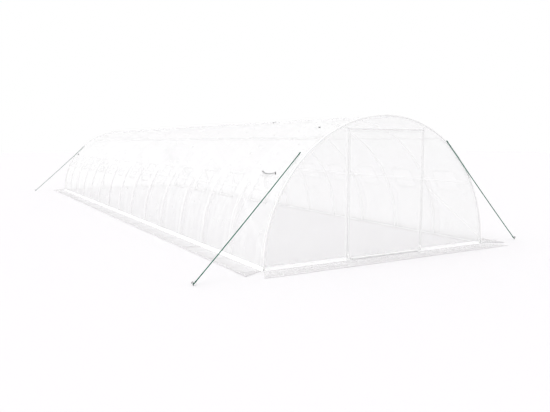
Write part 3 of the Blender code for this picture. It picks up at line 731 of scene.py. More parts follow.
@dataclass(frozen=True)
class SteelFinish:
    """Zinc-coated steel: pale flakes, grey rub marks and a little white bloom."""

    name: str = "zinc_steel"
    pale: Point = (0.99, 0.99, 0.99, 1.0)
    grey: Point = (0.970, 0.972, 0.974, 1.0)
    metal: float = 0.02
    scale: float = 130.0

    def make(self, effects: Effects) -> bpy.types.Material:
        """Return the steel's material."""
        material = bpy.data.materials.new(self.name)
        material.use_nodes = True
        wires = Wiring(material.node_tree)
        shader = material.node_tree.nodes["Principled BSDF"]
        place = wires.node("TexCoord").outputs["Object"]
        spangle = wires.node("Group", node_tree=effects.spangle)
        wires.join(place, spangle.inputs["Place"])
        spangle.inputs["Scale"].default_value = self.scale
        soil_and_shade = wires.node("Group", node_tree=effects.soil_and_shade)
        wires.join(place, soil_and_shade.inputs["Place"])
        soil_and_shade.inputs["Reach"].default_value = 0.12
        rub = wires.spread(wires.noise(place, 17.0, 5.0, 0.65), 0.45, 0.75)
        tone = wires.sum("ADD", wires.sum("MULTIPLY", spangle.outputs["Tone"], 0.45), wires.sum("MULTIPLY", rub, 0.55))
        clean = wires.blend(tone, self.pale, self.grey)
        dusty = wires.blend(wires.sum("MULTIPLY", soil_and_shade.outputs["Soil"], 0.4), clean, (0.93, 0.92, 0.915, 1.0))
        wires.join(dusty, shader.inputs["Base Color"])
        wires.join(wires.spread(soil_and_shade.outputs["Soil"], 0.0, 0.6, self.metal, 0.1), shader.inputs["Metallic"])
        wires.join(wires.spread(tone, 0.0, 1.0, 0.26, 0.46), shader.inputs["Roughness"])
        bump = wires.node("Bump", {"Height": spangle.outputs["Grain"], "Distance": 0.0002, "Strength": 0.3})
        wires.join(bump.outputs[0], shader.inputs["Normal"])
        return material


@dataclass(frozen=True)
class WebbingFinish:
    """Woven tape with two lines of stitches along its edges, on a strip's own flat UV map."""

    name: str
    tint: Point
    worn: Point
    thread: Point
    width: float = 0.025
    yarn: float = 0.0014
    cover: float = 1.0

    def make(self, effects: Effects) -> bpy.types.Material:
        """Return the tape's material."""
        material = bpy.data.materials.new(self.name)
        material.use_nodes = True
        wires = Wiring(material.node_tree)
        shader = material.node_tree.nodes["Principled BSDF"]
        place = wires.node("TexCoord").outputs["Object"]
        weave = wires.node("Group", node_tree=effects.weave)
        wires.join(wires.node("UVMap", uv_map="flat").outputs[0], weave.inputs["Flat"])
        weave.inputs["Yarn"].default_value = self.yarn
        weave.inputs["Width"].default_value = self.width
        wear = wires.spread(wires.noise(place, 24.0, 4.0, 0.6), 0.35, 0.75)
        cloth = wires.blend(wear, self.tint, self.worn)
        shade = wires.blend(wires.sum("MULTIPLY", weave.outputs["Yarn"], 0.25), cloth, self.worn)
        wires.join(wires.blend(weave.outputs["Stitch"], shade, self.thread), shader.inputs["Base Color"])
        wires.join(wires.spread(weave.outputs["Yarn"], 0.0, 1.0, 0.85, 0.62), shader.inputs["Roughness"])
        shader.inputs["Alpha"].default_value = self.cover
        bump = wires.node("Bump", {"Height": weave.outputs["Yarn"], "Distance": 0.0002, "Strength": 0.3})
        sewn = wires.node("Bump", {"Height": weave.outputs["Stitch"], "Distance": 0.0004, "Strength": 0.5,
                                   "Normal": bump.outputs[0]})
        wires.join(sewn.outputs[0], shader.inputs["Normal"])
        return material


@dataclass(frozen=True)
class MouldedFinish:
    """Moulded plastic with a fine pebbled skin and edges rubbed paler."""

    name: str
    tint: Point
    rubbed: Point
    roughness: float = 0.45

    def make(self, effects: Effects) -> bpy.types.Material:
        """Return the plastic's material."""
        material = bpy.data.materials.new(self.name)
        material.use_nodes = True
        wires = Wiring(material.node_tree)
        shader = material.node_tree.nodes["Principled BSDF"]
        place = wires.node("TexCoord").outputs["Object"]
        grain = wires.noise(place, 1500.0, 2.0)
        rub = wires.spread(wires.noise(place, 160.0, 4.0, 0.65), 0.50, 0.80)
        edges = wires.spread(wires.node("NewGeometry").outputs["Pointiness"], 0.52, 0.60)
        worn = wires.sum("ADD", wires.sum("MULTIPLY", rub, 0.3), wires.sum("MULTIPLY", edges, 0.5), clamp=True)
        wires.join(wires.blend(worn, self.tint, self.rubbed), shader.inputs["Base Color"])
        wires.join(wires.spread(rub, 0.0, 1.0, self.roughness, self.roughness + 0.2), shader.inputs["Roughness"])
        bump = wires.node("Bump", {"Height": grain, "Distance": 0.0001, "Strength": 0.4})
        wires.join(bump.outputs[0], shader.inputs["Normal"])
        return material


class Finishes:
    """Every finish of the tent, made once."""

    def __init__(self) -> None:
        """Make the shared effects, then each material."""
        effects = Effects()
        pale = (0.984, 0.985, 0.985, 1.0)
        # this grey is the films' soil and dust, and also their painted shade in front of the hoops and on the skirts
        dust = (0.78, 0.765, 0.77, 1.0)
        wall = (0.968, 0.970, 0.970, 1.0)
        self.cover = FilmFinish("cover_film", wall, dust, 0.27, tight=0.75, lapped=0.08, pleats=0.035).make(effects)
        self.end = FilmFinish("end_film", pale, dust, 0.25, thread_cover=0.08, roughness=0.26).make(effects)
        self.curtain = FilmFinish("curtain_film", pale, dust, 0.25, thread_cover=0.08, roughness=0.26,
                                  crinkle=7.0).make(effects)
        self.flaps = {
            Side.LEFT: FilmFinish("left_flap_film", pale, dust, 0.15, thread_cover=0.04, roughness=0.42).make(effects),
            Side.RIGHT: FilmFinish("right_flap_film", pale, dust, 0.01, thread_cover=0.02, roughness=0.42).make(effects),
        }
        self.net = NetFinish().make(effects)
        self.steel = SteelFinish().make(effects)
        self.fitting = SteelFinish("zinc_fitting", (0.96, 0.962, 0.965, 1.0), (0.90, 0.905, 0.91, 1.0), 0.2, 260.0).make(effects)
        white, worn, sewn = (0.98, 0.98, 0.98, 1.0), (0.95, 0.948, 0.95, 1.0), (0.985, 0.985, 0.985, 1.0)
        self.webbing = WebbingFinish("hem_webbing", white, worn, sewn, 0.040).make(effects)
        self.seam_tape = WebbingFinish("seam_tape", white, white, sewn, 0.040, cover=0.12).make(effects)
        self.rim_tape = WebbingFinish("rim_tape", white, white, sewn, 0.040, cover=0.90).make(effects)
        self.frame_tape = WebbingFinish("frame_tape", white, white, sewn, 0.012, 0.0010, 0.09).make(effects)
        # the hem cord is real, and its grey is painted shade: the contact shadow under the skirt's raised outer edge
        self.hem = WebbingFinish("skirt_hem", (0.92, 0.91, 0.915, 1.0), (0.84, 0.83, 0.835, 1.0),
                                 (0.90, 0.90, 0.90, 1.0), 0.022).make(effects)
        self.rolled_film = WebbingFinish("rolled_hem_film", (0.95, 0.95, 0.95, 1.0), (0.88, 0.875, 0.875, 1.0),
                                         (0.95, 0.95, 0.95, 1.0), 0.100, 0.0022).make(effects)
        self.zip_tape = WebbingFinish("zip_tape", white, white, sewn, 0.026, 0.0009, 0.18).make(effects)
        self.zip_teeth = MouldedFinish("zip_plastic", (0.98, 0.98, 0.98, 1.0), (0.99, 0.99, 0.99, 1.0)).make(effects)
        self.dark_strap = WebbingFinish("dark_strap", (0.050, 0.060, 0.060, 1.0), (0.13, 0.14, 0.138, 1.0),
                                        (0.20, 0.21, 0.21, 1.0), 0.009, 0.0010).make(effects)
        self.dark_toggle = MouldedFinish("dark_toggle", (0.020, 0.022, 0.022, 1.0), (0.10, 0.10, 0.10, 1.0), 0.35).make(effects)
        self.pale_toggle = MouldedFinish("pale_toggle", (0.86, 0.86, 0.85, 1.0), (0.94, 0.94, 0.94, 1.0), 0.4).make(effects)
        self.rope = RopeFinish().make()
        self.peg = PegFinish().make()


@dataclass
class Arch:
    """The shape that the cover and the frame share, with the cover's sag between the hoops."""

    radius: float = 2.0
    half_length: float = 7.0
    bay: float = 1.0
    film: float = 0.0015
    sag: float = 0.018
    ground_share: float = 0.25
    full_sag_angle: float = 30.0
    gap: float = 0.0003

    def point(self, radius: float, angle: float, y: float, side: float = -1.0) -> Vector:
        """Return the point at an angle above the foot of one side.

        Args:
            radius: Distance from the tunnel's axis.
            angle: Degrees above the foot.
            y: Place along the tunnel.
            side: -1 from the left foot, 1 from the right.

        Returns:
            The point.
        """
        turn = math.radians(angle)
        return Vector((side * radius * math.cos(turn), y, radius * math.sin(turn)))

    def sagged(self, angle: float, y: float) -> float:
        """Return the cover's outer radius, which sags between one hoop and the next."""
        if abs(y) >= self.half_length:
            return self.radius
        along = ((y + self.half_length) / self.bay) % 1.0
        height = min(1.0, min(angle, 180.0 - angle) / self.full_sag_angle)
        share = self.ground_share + (1.0 - self.ground_share) * height
        return self.radius - self.sag * share * bow(along)

    def folds(self, angle: float, y: float) -> float:
        """Return how far the cover's small folds fall inward, in metres: pleats near the ground, then slack.

        Args:
            angle: Degrees above the left foot.
            y: Place along the tunnel.

        Returns:
            The depth of the folds, 0 on a hoop and past the end hoops.
        """
        if abs(y) >= self.half_length:
            return 0.0
        along = ((y + self.half_length) / self.bay) % 1.0
        bay = math.floor((y + self.half_length) / self.bay)
        height = min(angle, 180.0 - angle)
        seed = bay * 7.31 + (0.0 if angle < 90.0 else 53.7)
        wander = 0.8 * noise.noise(Vector((along * 3.0, height * 0.04, seed)))
        pleat = 0.5 + 0.5 * math.sin(math.tau * (4.5 * along + wander))
        slack = 0.5 + 0.5 * noise.noise(Vector((y * 1.7, height * 0.06, seed + 9.0)))
        low = 1.0 - smoothstep(4.0, 27.0, height)
        return math.sqrt(bow(along)) * (0.0016 * low * pleat + 0.0014 * slack)

    def skin(self, angle: float, y: float, lift: float = 0.0) -> Vector:
        """Return the point at a height above the cover's outer face, folds and sag included.

        Args:
            angle: Degrees above the left foot, up to 180 at the right one.
            y: Place along the tunnel.
            lift: Height above the outer face.

        Returns:
            The point.
        """
        return self.point(self.sagged(angle, y) - self.folds(angle, y) + lift, angle, y)

    def degrees(self, length: float) -> float:
        """Return the angle that a length takes up along the arch."""
        return math.degrees(length / self.radius)

    def outward(self, place: Vector) -> Vector:
        """Return the direction away from the tunnel's axis."""
        return Vector((place.x, 0.0, place.z))


def steps_between(first: float, last: float, steps: int) -> list[float]:
    """Return evenly spaced values from first up to, but without, last."""
    return [first + (last - first) * step / steps for step in range(steps)]


@dataclass
class Hoops:
    """The steel hoops, each of five bent lengths that plug into one another."""

    arch: Arch
    centre_radius: float = 1.9857
    tube: float = 0.025
    sides: int = 16
    steps: int = 108
    joints: tuple[float, ...] = (36.0, 72.0, 108.0, 144.0)
    joint_gap: float = 0.12
    joint_depth: float = 0.0014

    def bent(self) -> bmesh.types.BMesh:
        """Spin one hoop over the tunnel's axis, with a step where each length plugs in."""
        bm = bmesh.new()
        ring = bmesh.ops.create_circle(bm, segments=self.sides, radius=self.tube / 2)["verts"]
        bmesh.ops.translate(bm, verts=ring, vec=(-self.centre_radius, 0.0, 0.0))
        edges = bm.edges[:]
        bmesh.ops.spin(bm, geom=ring + edges, cent=(0.0, 0.0, 0.0), axis=(0.0, 1.0, 0.0),
                       angle=math.pi, steps=self.steps)
        if max(vertex.co.z for vertex in bm.verts) < 0.1:
            bmesh.ops.rotate(bm, verts=bm.verts, cent=(0.0, 0.0, 0.0), matrix=Matrix.Rotation(math.pi, 3, "Y"))
        for joint in self.joints:
            for offset in (-self.joint_gap, 0.0, self.joint_gap):
                turn = math.radians(joint + offset)
                normal = Vector((math.sin(turn), 0.0, math.cos(turn)))
                cut = bmesh.ops.bisect_plane(bm, geom=bm.verts[:] + bm.edges[:] + bm.faces[:],
                                             plane_co=(0.0, 0.0, 0.0), plane_no=normal)["geom_cut"]
                if offset == 0.0:
                    groove = [item for item in cut if isinstance(item, bmesh.types.BMVert)]
                    middle = self.arch.point(self.centre_radius, joint, 0.0)
                    share = 1.0 - 2.0 * self.joint_depth / self.tube
                    bmesh.ops.scale(bm, verts=groove, vec=(share, share, share),
                                    space=Matrix.Translation(-middle))
        open_edges = [edge for edge in bm.edges if edge.is_boundary]
        bmesh.ops.holes_fill(bm, edges=open_edges, sides=self.sides)
        return bm

    def build(self, finish: bpy.types.Material) -> None:
        """Make one hoop at each end of every bay."""
        shape = bpy.data.meshes.new("hoop_shape")
        bm = self.bent()
        bm.to_mesh(shape)
        bm.free()
        count = round(2 * self.arch.half_length / self.arch.bay) + 1
        for index in range(count):
            piece = Piece(f"hoop_{index + 1:02d}_bent_tube")
            piece.bm.from_mesh(shape)
            y = -self.arch.half_length + index * self.arch.bay
            bmesh.ops.translate(piece.bm, verts=piece.bm.verts, vec=(0.0, y, 0.0))
            piece.done(finish, stands_for=[f"hoop_{index + 1:02d}"])
        bpy.data.meshes.remove(shape)
        LOG.info("made %d hoops", count)


@dataclass
class LongTubes:
    """The ridge and side purlins and the base rails, saddled and bolted to every hoop."""

    arch: Arch
    tube: float = 0.025
    sides: int = 16
    overhang: float = 0.0125
    clip_wall: float = 0.0016
    clip_width: float = 0.025
    hoop_centre: float = 1.9857
    runs: tuple[tuple[str, float, float, float], ...] = (
        ("ridge_purlin", 90.0, 0.0, 1.9604),
        ("left_purlin", 30.0, -1.6978, 0.9802),
        ("right_purlin", 150.0, 1.6978, 0.9802),
        ("left_base_rail", 0.42, -1.9595, 0.0128),
        ("right_base_rail", 179.58, 1.9595, 0.0128),
    )

    def run(self, name: str, x: float, z: float, finish: bpy.types.Material) -> None:
        """Make one tube the length of the tunnel, in lengths that plug into one another.

        Args:
            name: The node that it stands for.
            x: Its place across.
            z: Its height.
            finish: The tubes' material.
        """
        piece = Piece(f"{name}_tube")
        reach = self.arch.half_length + self.overhang
        bm = piece.bm
        lengths = [-reach, -5.0, -3.0, -1.0, 1.0, 3.0, 5.0, reach]
        end_taper, groove = 0.0012, 0.0013
        rings: list[tuple[float, float]] = [(-reach, -0.0010), (-reach + end_taper, 0.0)]
        for joint in lengths[1:-1]:
            at = joint + 0.31
            rings += [(at - 0.004, 0.0), (at, -groove), (at + 0.004, 0.0)]
        rings += [(reach - end_taper, 0.0), (reach, -0.0010)]
        ring = bmesh.ops.create_circle(bm, segments=self.sides, radius=self.tube / 2)["verts"]
        edges = bm.edges[:]
        for index, (at, change) in enumerate(rings):
            if index:
                grown = bmesh.ops.extrude_edge_only(bm, edges=edges)["geom"]
                ring = [item for item in grown if isinstance(item, bmesh.types.BMVert)]
                edges = [item for item in grown if isinstance(item, bmesh.types.BMEdge)]
            share = (self.tube / 2 + change) / max(vertex.co.xy.length for vertex in ring)
            bmesh.ops.scale(bm, verts=ring, vec=(share, share, 1.0))
            bmesh.ops.translate(bm, verts=ring, vec=(0.0, 0.0, at - ring[0].co.z))
        bmesh.ops.holes_fill(bm, edges=[edge for edge in bm.edges if edge.is_boundary], sides=self.sides)
        bmesh.ops.rotate(bm, verts=bm.verts, cent=(0.0, 0.0, 0.0), matrix=Matrix.Rotation(-math.pi / 2, 3, "X"))
        bmesh.ops.translate(bm, verts=bm.verts, vec=(x, 0.0, z))
        piece.done(finish, stands_for=[name])

    def clip(self, piece: Piece, angle: float, x: float, y: float, z: float) -> None:
        """Add one fitting where a long tube crosses a hoop: a saddle, a band round the tube and a bolt.

        Args:
            piece: The piece that holds the fittings of this tube.
            angle: Degrees of the crossing above the left foot.
            x: The long tube's place across.
            y: The hoop's place along.
            z: The long tube's height.
        """
        bm = piece.bm
        out = self.arch.point(1.0, angle, 0.0)
        along = Vector((0.0, 1.0, 0.0))
        across = along.cross(out).normalized()
        for centre, axis, start, turn, radius in (
            (self.arch.point(self.hoop_centre, angle, y), across, along, math.pi, self.tube / 2 + 0.0006),
            (Vector((x, y, z)), along, across, math.pi, self.tube / 2 + 0.0006),
        ):
            made = bmesh.ops.create_grid(bm, x_segments=1, y_segments=1, size=0.5)["verts"]
            inward = -out
            for vertex in made:
                radial = radius + self.clip_wall * (vertex.co.x + 0.5)
                vertex.co = centre + start * radial + axis * self.clip_width * vertex.co.y
            grounded = centre.z < radius + self.clip_wall
            faces = list({face for vertex in made for face in vertex.link_faces})
            spin_axis = axis if start.cross(inward).dot(axis) > 0 else -axis
            bmesh.ops.spin(bm, geom=made + faces + list({edge for face in faces for edge in face.edges}),
                           cent=centre, axis=spin_axis, angle=turn, steps=8)
            if grounded:
                for vertex in bm.verts:
                    vertex.co.z = max(vertex.co.z, 0.0003)
        bolt = Matrix((across, along, out)).transposed().to_4x4()
        for sign in (-1.0, 1.0):
            place = Vector((x, y, z)) + across * sign * (self.tube / 2 + 0.0045) + out * 0.004
            if place.z < 0.01:
                continue
            bmesh.ops.create_cone(bm, cap_ends=True, segments=6, radius1=0.0045, radius2=0.0040, depth=0.005,
                                  matrix=Matrix.Translation(place) @ bolt)

    def build(self, tube_finish: bpy.types.Material, clip_finish: bpy.types.Material) -> None:
        """Make the five long tubes and their fittings."""
        count = round(2 * self.arch.half_length / self.arch.bay) + 1
        for name, angle, x, z in self.runs:
            self.run(name, x, z, tube_finish)
            piece = Piece(f"{name}_saddle_clips")
            for index in range(count):
                self.clip(piece, angle, x, -self.arch.half_length + index * self.arch.bay, z)
            piece.done(clip_finish)
        LOG.info("made %d long tubes", len(self.runs))


@dataclass
class Braces:
    """The four diagonal tubes that stiffen the end bays, pressed flat and bolted at both ends."""

    arch: Arch
    tube: float = 0.019
    line_radius: float = 1.9630
    low_angle: float = 3.5
    high_angle: float = 26.0
    head_reach: float = 0.0125
    flat_length: float = 0.035

    def build(self, finish: bpy.types.Material) -> None:
        """Make one brace in each end bay of each side."""
        for side in Side:
            for end in End:
                foot = self.arch.point(self.line_radius, self.low_angle, end.value * self.arch.half_length, side.value)
                head_y = end.value * (self.arch.half_length - self.arch.bay)
                head = self.arch.point(self.line_radius, self.high_angle, head_y, side.value)
                run = (head - foot).normalized()
                head += run * self.head_reach
                piece = Piece(f"{end.word}_{side.word}_brace_tube")
                length = (head - foot).length
                rod = piece.tube(self.tube / 2, length, 60, 12)
                outward = self.arch.outward((foot + head) / 2).normalized()
                flat = (outward - run * outward.dot(run)).normalized()
                wide = run.cross(flat)
                for vertex in rod:
                    ends = min(vertex.co.z, length - vertex.co.z)
                    squeeze = 1.0 - 0.72 * (1.0 - smoothstep(self.flat_length * 0.6, self.flat_length * 1.6, ends))
                    spread = 1.0 + 0.30 * (1.0 - squeeze)
                    vertex.co = foot + flat * vertex.co.x * squeeze + wide * vertex.co.y * spread + run * vertex.co.z
                piece.done(finish, stands_for=[f"{end.word}_{side.word}_brace"])
        LOG.info("made 4 braces")


@dataclass
class DoorFrames:
    """The two posts and the header of each end, with their sleeves and foot caps."""

    arch: Arch
    tube: float = 0.025
    post_x: float = 0.70
    post_top: float = 1.834
    header_z: float = 1.80
    header_reach: float = 0.6872
    sleeve_wall: float = 0.0016
    sleeve_length: float = 0.050
    sides: int = 16

    def rod(self, name: str, start: Vector, end: Vector, finish: bpy.types.Material, node: str) -> None:
        """Make a straight tube with softened ends.

        Args:
            name: The piece's name.
            start: One end.
            end: The other end.
            finish: The tubes' material.
            node: The node that it stands for.
        """
        piece = Piece(name)
        bm = piece.bm
        length = (end - start).length
        bmesh.ops.create_cone(bm, cap_ends=True, segments=self.sides, radius1=self.tube / 2,
                              radius2=self.tube / 2, depth=length)
        rims = [edge for edge in bm.edges if abs(edge.verts[0].co.z - edge.verts[1].co.z) < 1e-6]
        bmesh.ops.bevel(bm, geom=rims, offset=0.0012, segments=2, profile=0.5, affect="EDGES", material=-1)
        turn = (end - start).to_track_quat("Z", "Y").to_matrix().to_4x4()
        bmesh.ops.transform(bm, matrix=Matrix.Translation((start + end) / 2) @ turn, verts=bm.verts)
        piece.done(finish, stands_for=[node])

    def sleeve(self, piece: Piece, middle: Vector, axis: Vector, length: float) -> None:
        """Add a short sleeve round a tube, with a screw head on its inner side."""
        bm = piece.bm
        turn = axis.to_track_quat("Z", "Y").to_matrix().to_4x4()
        outer = self.tube / 2 + 0.0002 + self.sleeve_wall
        made = bmesh.ops.create_cone(bm, cap_ends=True, segments=self.sides, radius1=outer, radius2=outer,
                                     depth=length, matrix=Matrix.Translation(middle) @ turn)["verts"]
        rims = list({edge for vertex in made for edge in vertex.link_edges
                     if abs((edge.verts[0].co - edge.verts[1].co).dot(axis)) < 1e-6})
        bmesh.ops.bevel(bm, geom=rims, offset=0.0008, segments=1, profile=0.5, affect="EDGES", material=-1)

    def build(self, tube_finish: bpy.types.Material, fitting_finish: bpy.types.Material) -> None:
        """Make both door frames."""
        up = Vector((0.0, 0.0, 1.0))
        across = Vector((1.0, 0.0, 0.0))
        for end in End:
            y = end.value * self.arch.half_length
            fittings = Piece(f"{end.word}_door_frame_sleeves")
            for side in Side:
                x = side.value * self.post_x
                named = side.word if end is End.FRONT else ("left" if side is Side.RIGHT else "right")
                self.rod(f"{end.word}_{named}_post_tube", Vector((x, y, 0.0)), Vector((x, y, self.post_top)),
                         tube_finish, f"{end.word}_{named}_door_post")
                self.sleeve(fittings, Vector((x, y, self.header_z)), up, self.sleeve_length)
                self.sleeve(fittings, Vector((x - side.value * 0.036, y, self.header_z)), across, 0.046)
                self.sleeve(fittings, Vector((x, y, 0.016)), up, 0.030)
            self.rod(f"{end.word}_header_tube", Vector((-self.header_reach, y, self.header_z)),
                     Vector((self.header_reach, y, self.header_z)), tube_finish, f"{end.word}_door_header")
            fittings.done(fitting_finish)
        LOG.info("made 2 door frames")


@dataclass
class Cover:
    """The film cover: two walls with their ground skirts and window openings, and the roof between them."""

    arch: Arch
    end_reach: float = 7.0181
    seam_angle: float = 57.0
    skirt_width: float = 0.34
    flare: float = 0.19
    film: float = 0.0012
    window_half: float = 0.23
    window_low: float = 24.0
    window_high: float = 36.0
    border: float = 0.03
    side_steps: int = 8
    window_steps: int = 12

    def bays(self) -> range:
        """Return the numbers of the bays."""
        return range(round(2 * self.arch.half_length / self.arch.bay))

    def middle(self, bay: int) -> float:
        """Return the Y of a bay's middle."""
        return -self.arch.half_length + (bay + 0.5) * self.arch.bay

    def columns(self) -> list[float]:
        """Return the Y of every column, with lines on the edges of the windows."""
        columns = [-self.end_reach]
        for bay in self.bays():
            low, high = self.middle(bay) - self.window_half, self.middle(bay) + self.window_half
            columns += steps_between(low - (0.5 * self.arch.bay - self.window_half), low, self.side_steps)
            columns += steps_between(low, high, self.window_steps)
            columns += steps_between(high, high + (0.5 * self.arch.bay - self.window_half), self.side_steps)
        return columns + [self.arch.half_length, self.end_reach]

    def net_angles(self) -> tuple[float, float]:
        """Return the lowest and highest angle of the window openings."""
        edge = self.arch.degrees(self.border)
        return self.window_low + edge, self.window_high - edge

    def window_rows(self) -> list[float]:
        """Return the rows of a window opening, as lengths along the arch."""
        low, high = (math.radians(angle) * self.arch.radius for angle in self.net_angles())
        return steps_between(low, high, 8) + [high]

    def wall_rows(self) -> list[float]:
        """Return the rows of a wall as lengths along the arch, negative on the skirt."""
        window = self.window_rows()
        seam = math.radians(self.seam_angle) * self.arch.radius
        skirt = steps_between(-self.skirt_width, -0.02, 9) + [-0.02, -0.008]
        return skirt + steps_between(0.0, window[0], 22) + window[:-1] + steps_between(window[-1], seam, 20) + [seam]

    def crumple(self, out: float, y: float, seed: float) -> float:
        """Return how high a skirt stands off the ground: waves, and a pinched pleat at each hoop.

        Args:
            out: Distance from the foot of the cover.
            y: Place along the skirt.
            seed: A number that sets one skirt apart from another.

        Returns:
            The height of the skirt's lower face.
        """
        loose = smoothstep(0.03, 0.18, out)
        waves = 0.5 + 0.5 * noise.noise(Vector((y * 3.1, out * 5.0, seed)))
        fine = 0.5 + 0.5 * noise.noise(Vector((y * 11.0, out * 17.0, seed + 4.0)))
        bay = round((y + self.arch.half_length) / self.arch.bay)
        hoop = -self.arch.half_length + bay * self.arch.bay
        shift = 0.05 * noise.noise(Vector((bay * 3.7, seed, 1.0))) + 0.25 * (out - 0.15) * noise.noise(Vector((bay * 5.1, seed, 7.0)))
        strength = 0.55 + 0.45 * noise.noise(Vector((bay * 2.3, seed, 3.0)))
        pinch = math.exp(-(((y - hoop - shift) / 0.022) ** 2)) * strength
        return loose * (0.006 * waves + 0.001 * fine) + 0.020 * pinch * smoothstep(0.02, 0.16, out)

    def wall_point(self, side: Side, y: float, row: float) -> Vector:
        """Return the outer face of a wall or its skirt.

        Args:
            side: The wall's side.
            y: Place along the tunnel.
            row: Length up the arch, negative out along the skirt.

        Returns:
            The point.
        """
        if row >= 0.0:
            angle = math.degrees(row / self.arch.radius)
            if side is Side.RIGHT:
                angle = 180.0 - angle
            place = self.arch.skin(angle, y)
            place.z = max(place.z, self.film + 0.0002)
            return place
        seed = side.value * 11.0
        ragged = 0.006 * noise.noise(Vector((y * 2.3, seed, 0.0))) - 0.006
        out = -row * (1.0 + ragged / self.skirt_width)
        height = self.film + 0.0002 + self.crumple(out, y, seed)
        if abs(y) > self.arch.half_length:
            y += math.copysign(self.flare * out / self.skirt_width, y)
        return Vector((side.value * (self.arch.radius + out), y, height))

    def wall(self, side: Side, finish: bpy.types.Material) -> bpy.types.Object:
        """Make one wall with its skirt and its window openings.

        Args:
            side: The wall's side.
            finish: The film's material.

        Returns:
            The wall, which stands for its node.
        """
        piece = Piece(f"{side.word}_wall_film")
        window = self.window_rows()

        def opening(y: float, row: float) -> bool:
            """Tell whether a place on the wall lies in a window."""
            bay = math.floor((y + self.arch.half_length) / self.arch.bay)
            return abs(y - self.middle(bay)) < self.window_half and window[0] < row < window[-1]

        piece.sheet(self.columns(), self.wall_rows(), lambda y, row: self.wall_point(side, y, row),
                    self.arch.outward, opening)
        return piece.done(finish, smooth=70.0, thickness=self.film,
                          stands_for=[f"cover_{side.word}_wall"])

    def roof(self, finish: bpy.types.Material) -> bpy.types.Object:
        """Make the roof panel from seam to seam."""
        piece = Piece("roof_film")
        low, high = (math.radians(angle) * self.arch.radius for angle in (self.seam_angle, 180.0 - self.seam_angle))
        columns = [-self.end_reach] + steps_between(-self.arch.half_length, self.arch.half_length, 196)
        columns += [self.arch.half_length, self.end_reach]
        rows = steps_between(low, high, 36) + [high]
        piece.sheet(columns, rows, lambda y, row: self.arch.skin(math.degrees(row / self.arch.radius), y),
                    self.arch.outward)
        return piece.done(finish, smooth=70.0, thickness=self.film, stands_for=["cover_roof"])

    def nets(self, side: Side, finish: bpy.types.Material) -> bpy.types.Object:
        """Make the nets of one wall's windows, sewn behind its film."""
        piece = Piece(f"{side.word}_window_nets")
        rows = self.window_rows()
        lap = 0.010
        rows = [rows[0] - lap] + rows + [rows[-1] + lap]
        for bay in self.bays():
            low, high = self.middle(bay) - self.window_half, self.middle(bay) + self.window_half
            columns = [low - lap] + steps_between(low, high, self.window_steps) + [high, high + lap]
            piece.sheet(columns, rows, lambda y, row: self.inner(side, y, row), self.arch.outward)
        return piece.done(finish, smooth=70.0, thickness=0.0005)

    def inner(self, side: Side, y: float, row: float, lift: float = -0.0014) -> Vector:
        """Return a point at a height above the outer face of one wall."""
        angle = math.degrees(row / self.arch.radius)
        return self.arch.skin(angle if side is Side.LEFT else 180.0 - angle, y, lift)

    def build(self, film_finish: bpy.types.Material, net_finish: bpy.types.Material) -> None:
        """Make the walls with their nets, and the roof."""
        for side in Side:
            nets = self.nets(side, net_finish)
            wall = self.wall(side, film_finish)
        roof = self.roof(film_finish)
        LOG.info("made the cover of %d bays", len(self.bays()))


@dataclass
class WindowFlaps:
    """The flaps that hang over the windows from a sewn header, in groups that lift together."""

    arch: Arch
    cover: Cover
    groups: tuple[int, ...] = (3, 4, 4, 3)
    half_width: float = 0.26
    film: float = 0.0009
    stand_off: float = 0.0012

    def face(self, side: Side, bay: int, y: float, row: float, lift: float = 0.0) -> Vector:
        """Return a point above a flap's outer face, which is a little slack at its free edge."""
        low, high = (math.radians(angle) * self.arch.radius for angle in (self.cover.window_low, self.cover.window_high))
        free = 1.0 - smoothstep(low, high - 0.05, row)
        ripple = 0.5 + 0.5 * math.sin(math.tau * (y - self.cover.middle(bay)) * 5.0 + bay * 2.1)
        slack = free * (0.0009 * ripple + 0.0004)
        return self.cover.inner(side, y, row, self.stand_off + self.film + slack + lift)

    def flap(self, side: Side, bay: int, group: int, finish: bpy.types.Material, first: bool) -> bpy.types.Object:
        """Make one flap, hanging shut.

        Args:
            side: The wall's side.
            bay: The bay that it closes.
            group: The group that it lifts with.
            finish: The flap's film.
            first: Whether it is the first of its group, which stands for the node.

        Returns:
            The flap.
        """
        piece = Piece(f"{side.word}_window_flap_{bay + 1:02d}")
        low = math.radians(self.cover.window_low) * self.arch.radius
        high = math.radians(self.cover.window_high) * self.arch.radius
        middle = self.cover.middle(bay)
        columns = steps_between(middle - self.half_width, middle + self.half_width, 16) + [middle + self.half_width]
        rows = steps_between(low, high, 14) + [high]

        piece.sheet(columns, rows, lambda y, row: self.face(side, bay, y, row), self.arch.outward)
        stands_for = [f"{side.word}_window_flaps_{group}"] if first else []
        return piece.done(finish, body=f"{side.word}_flaps_{group}", smooth=70.0,
                          thickness=self.film, stands_for=stands_for)

    def build(self, films: dict[Side, bpy.types.Material]) -> None:
        """Make the flaps of both walls, each wall's in its own film."""
        count = 0
        for side in Side:
            bay = 0
            for group, size in enumerate(self.groups, start=1):
                for number in range(size):
                    flap = self.flap(side, bay, group, films[side], number == 0)
                    bay += 1
                    count += 1
        LOG.info("made %d window flaps", count)


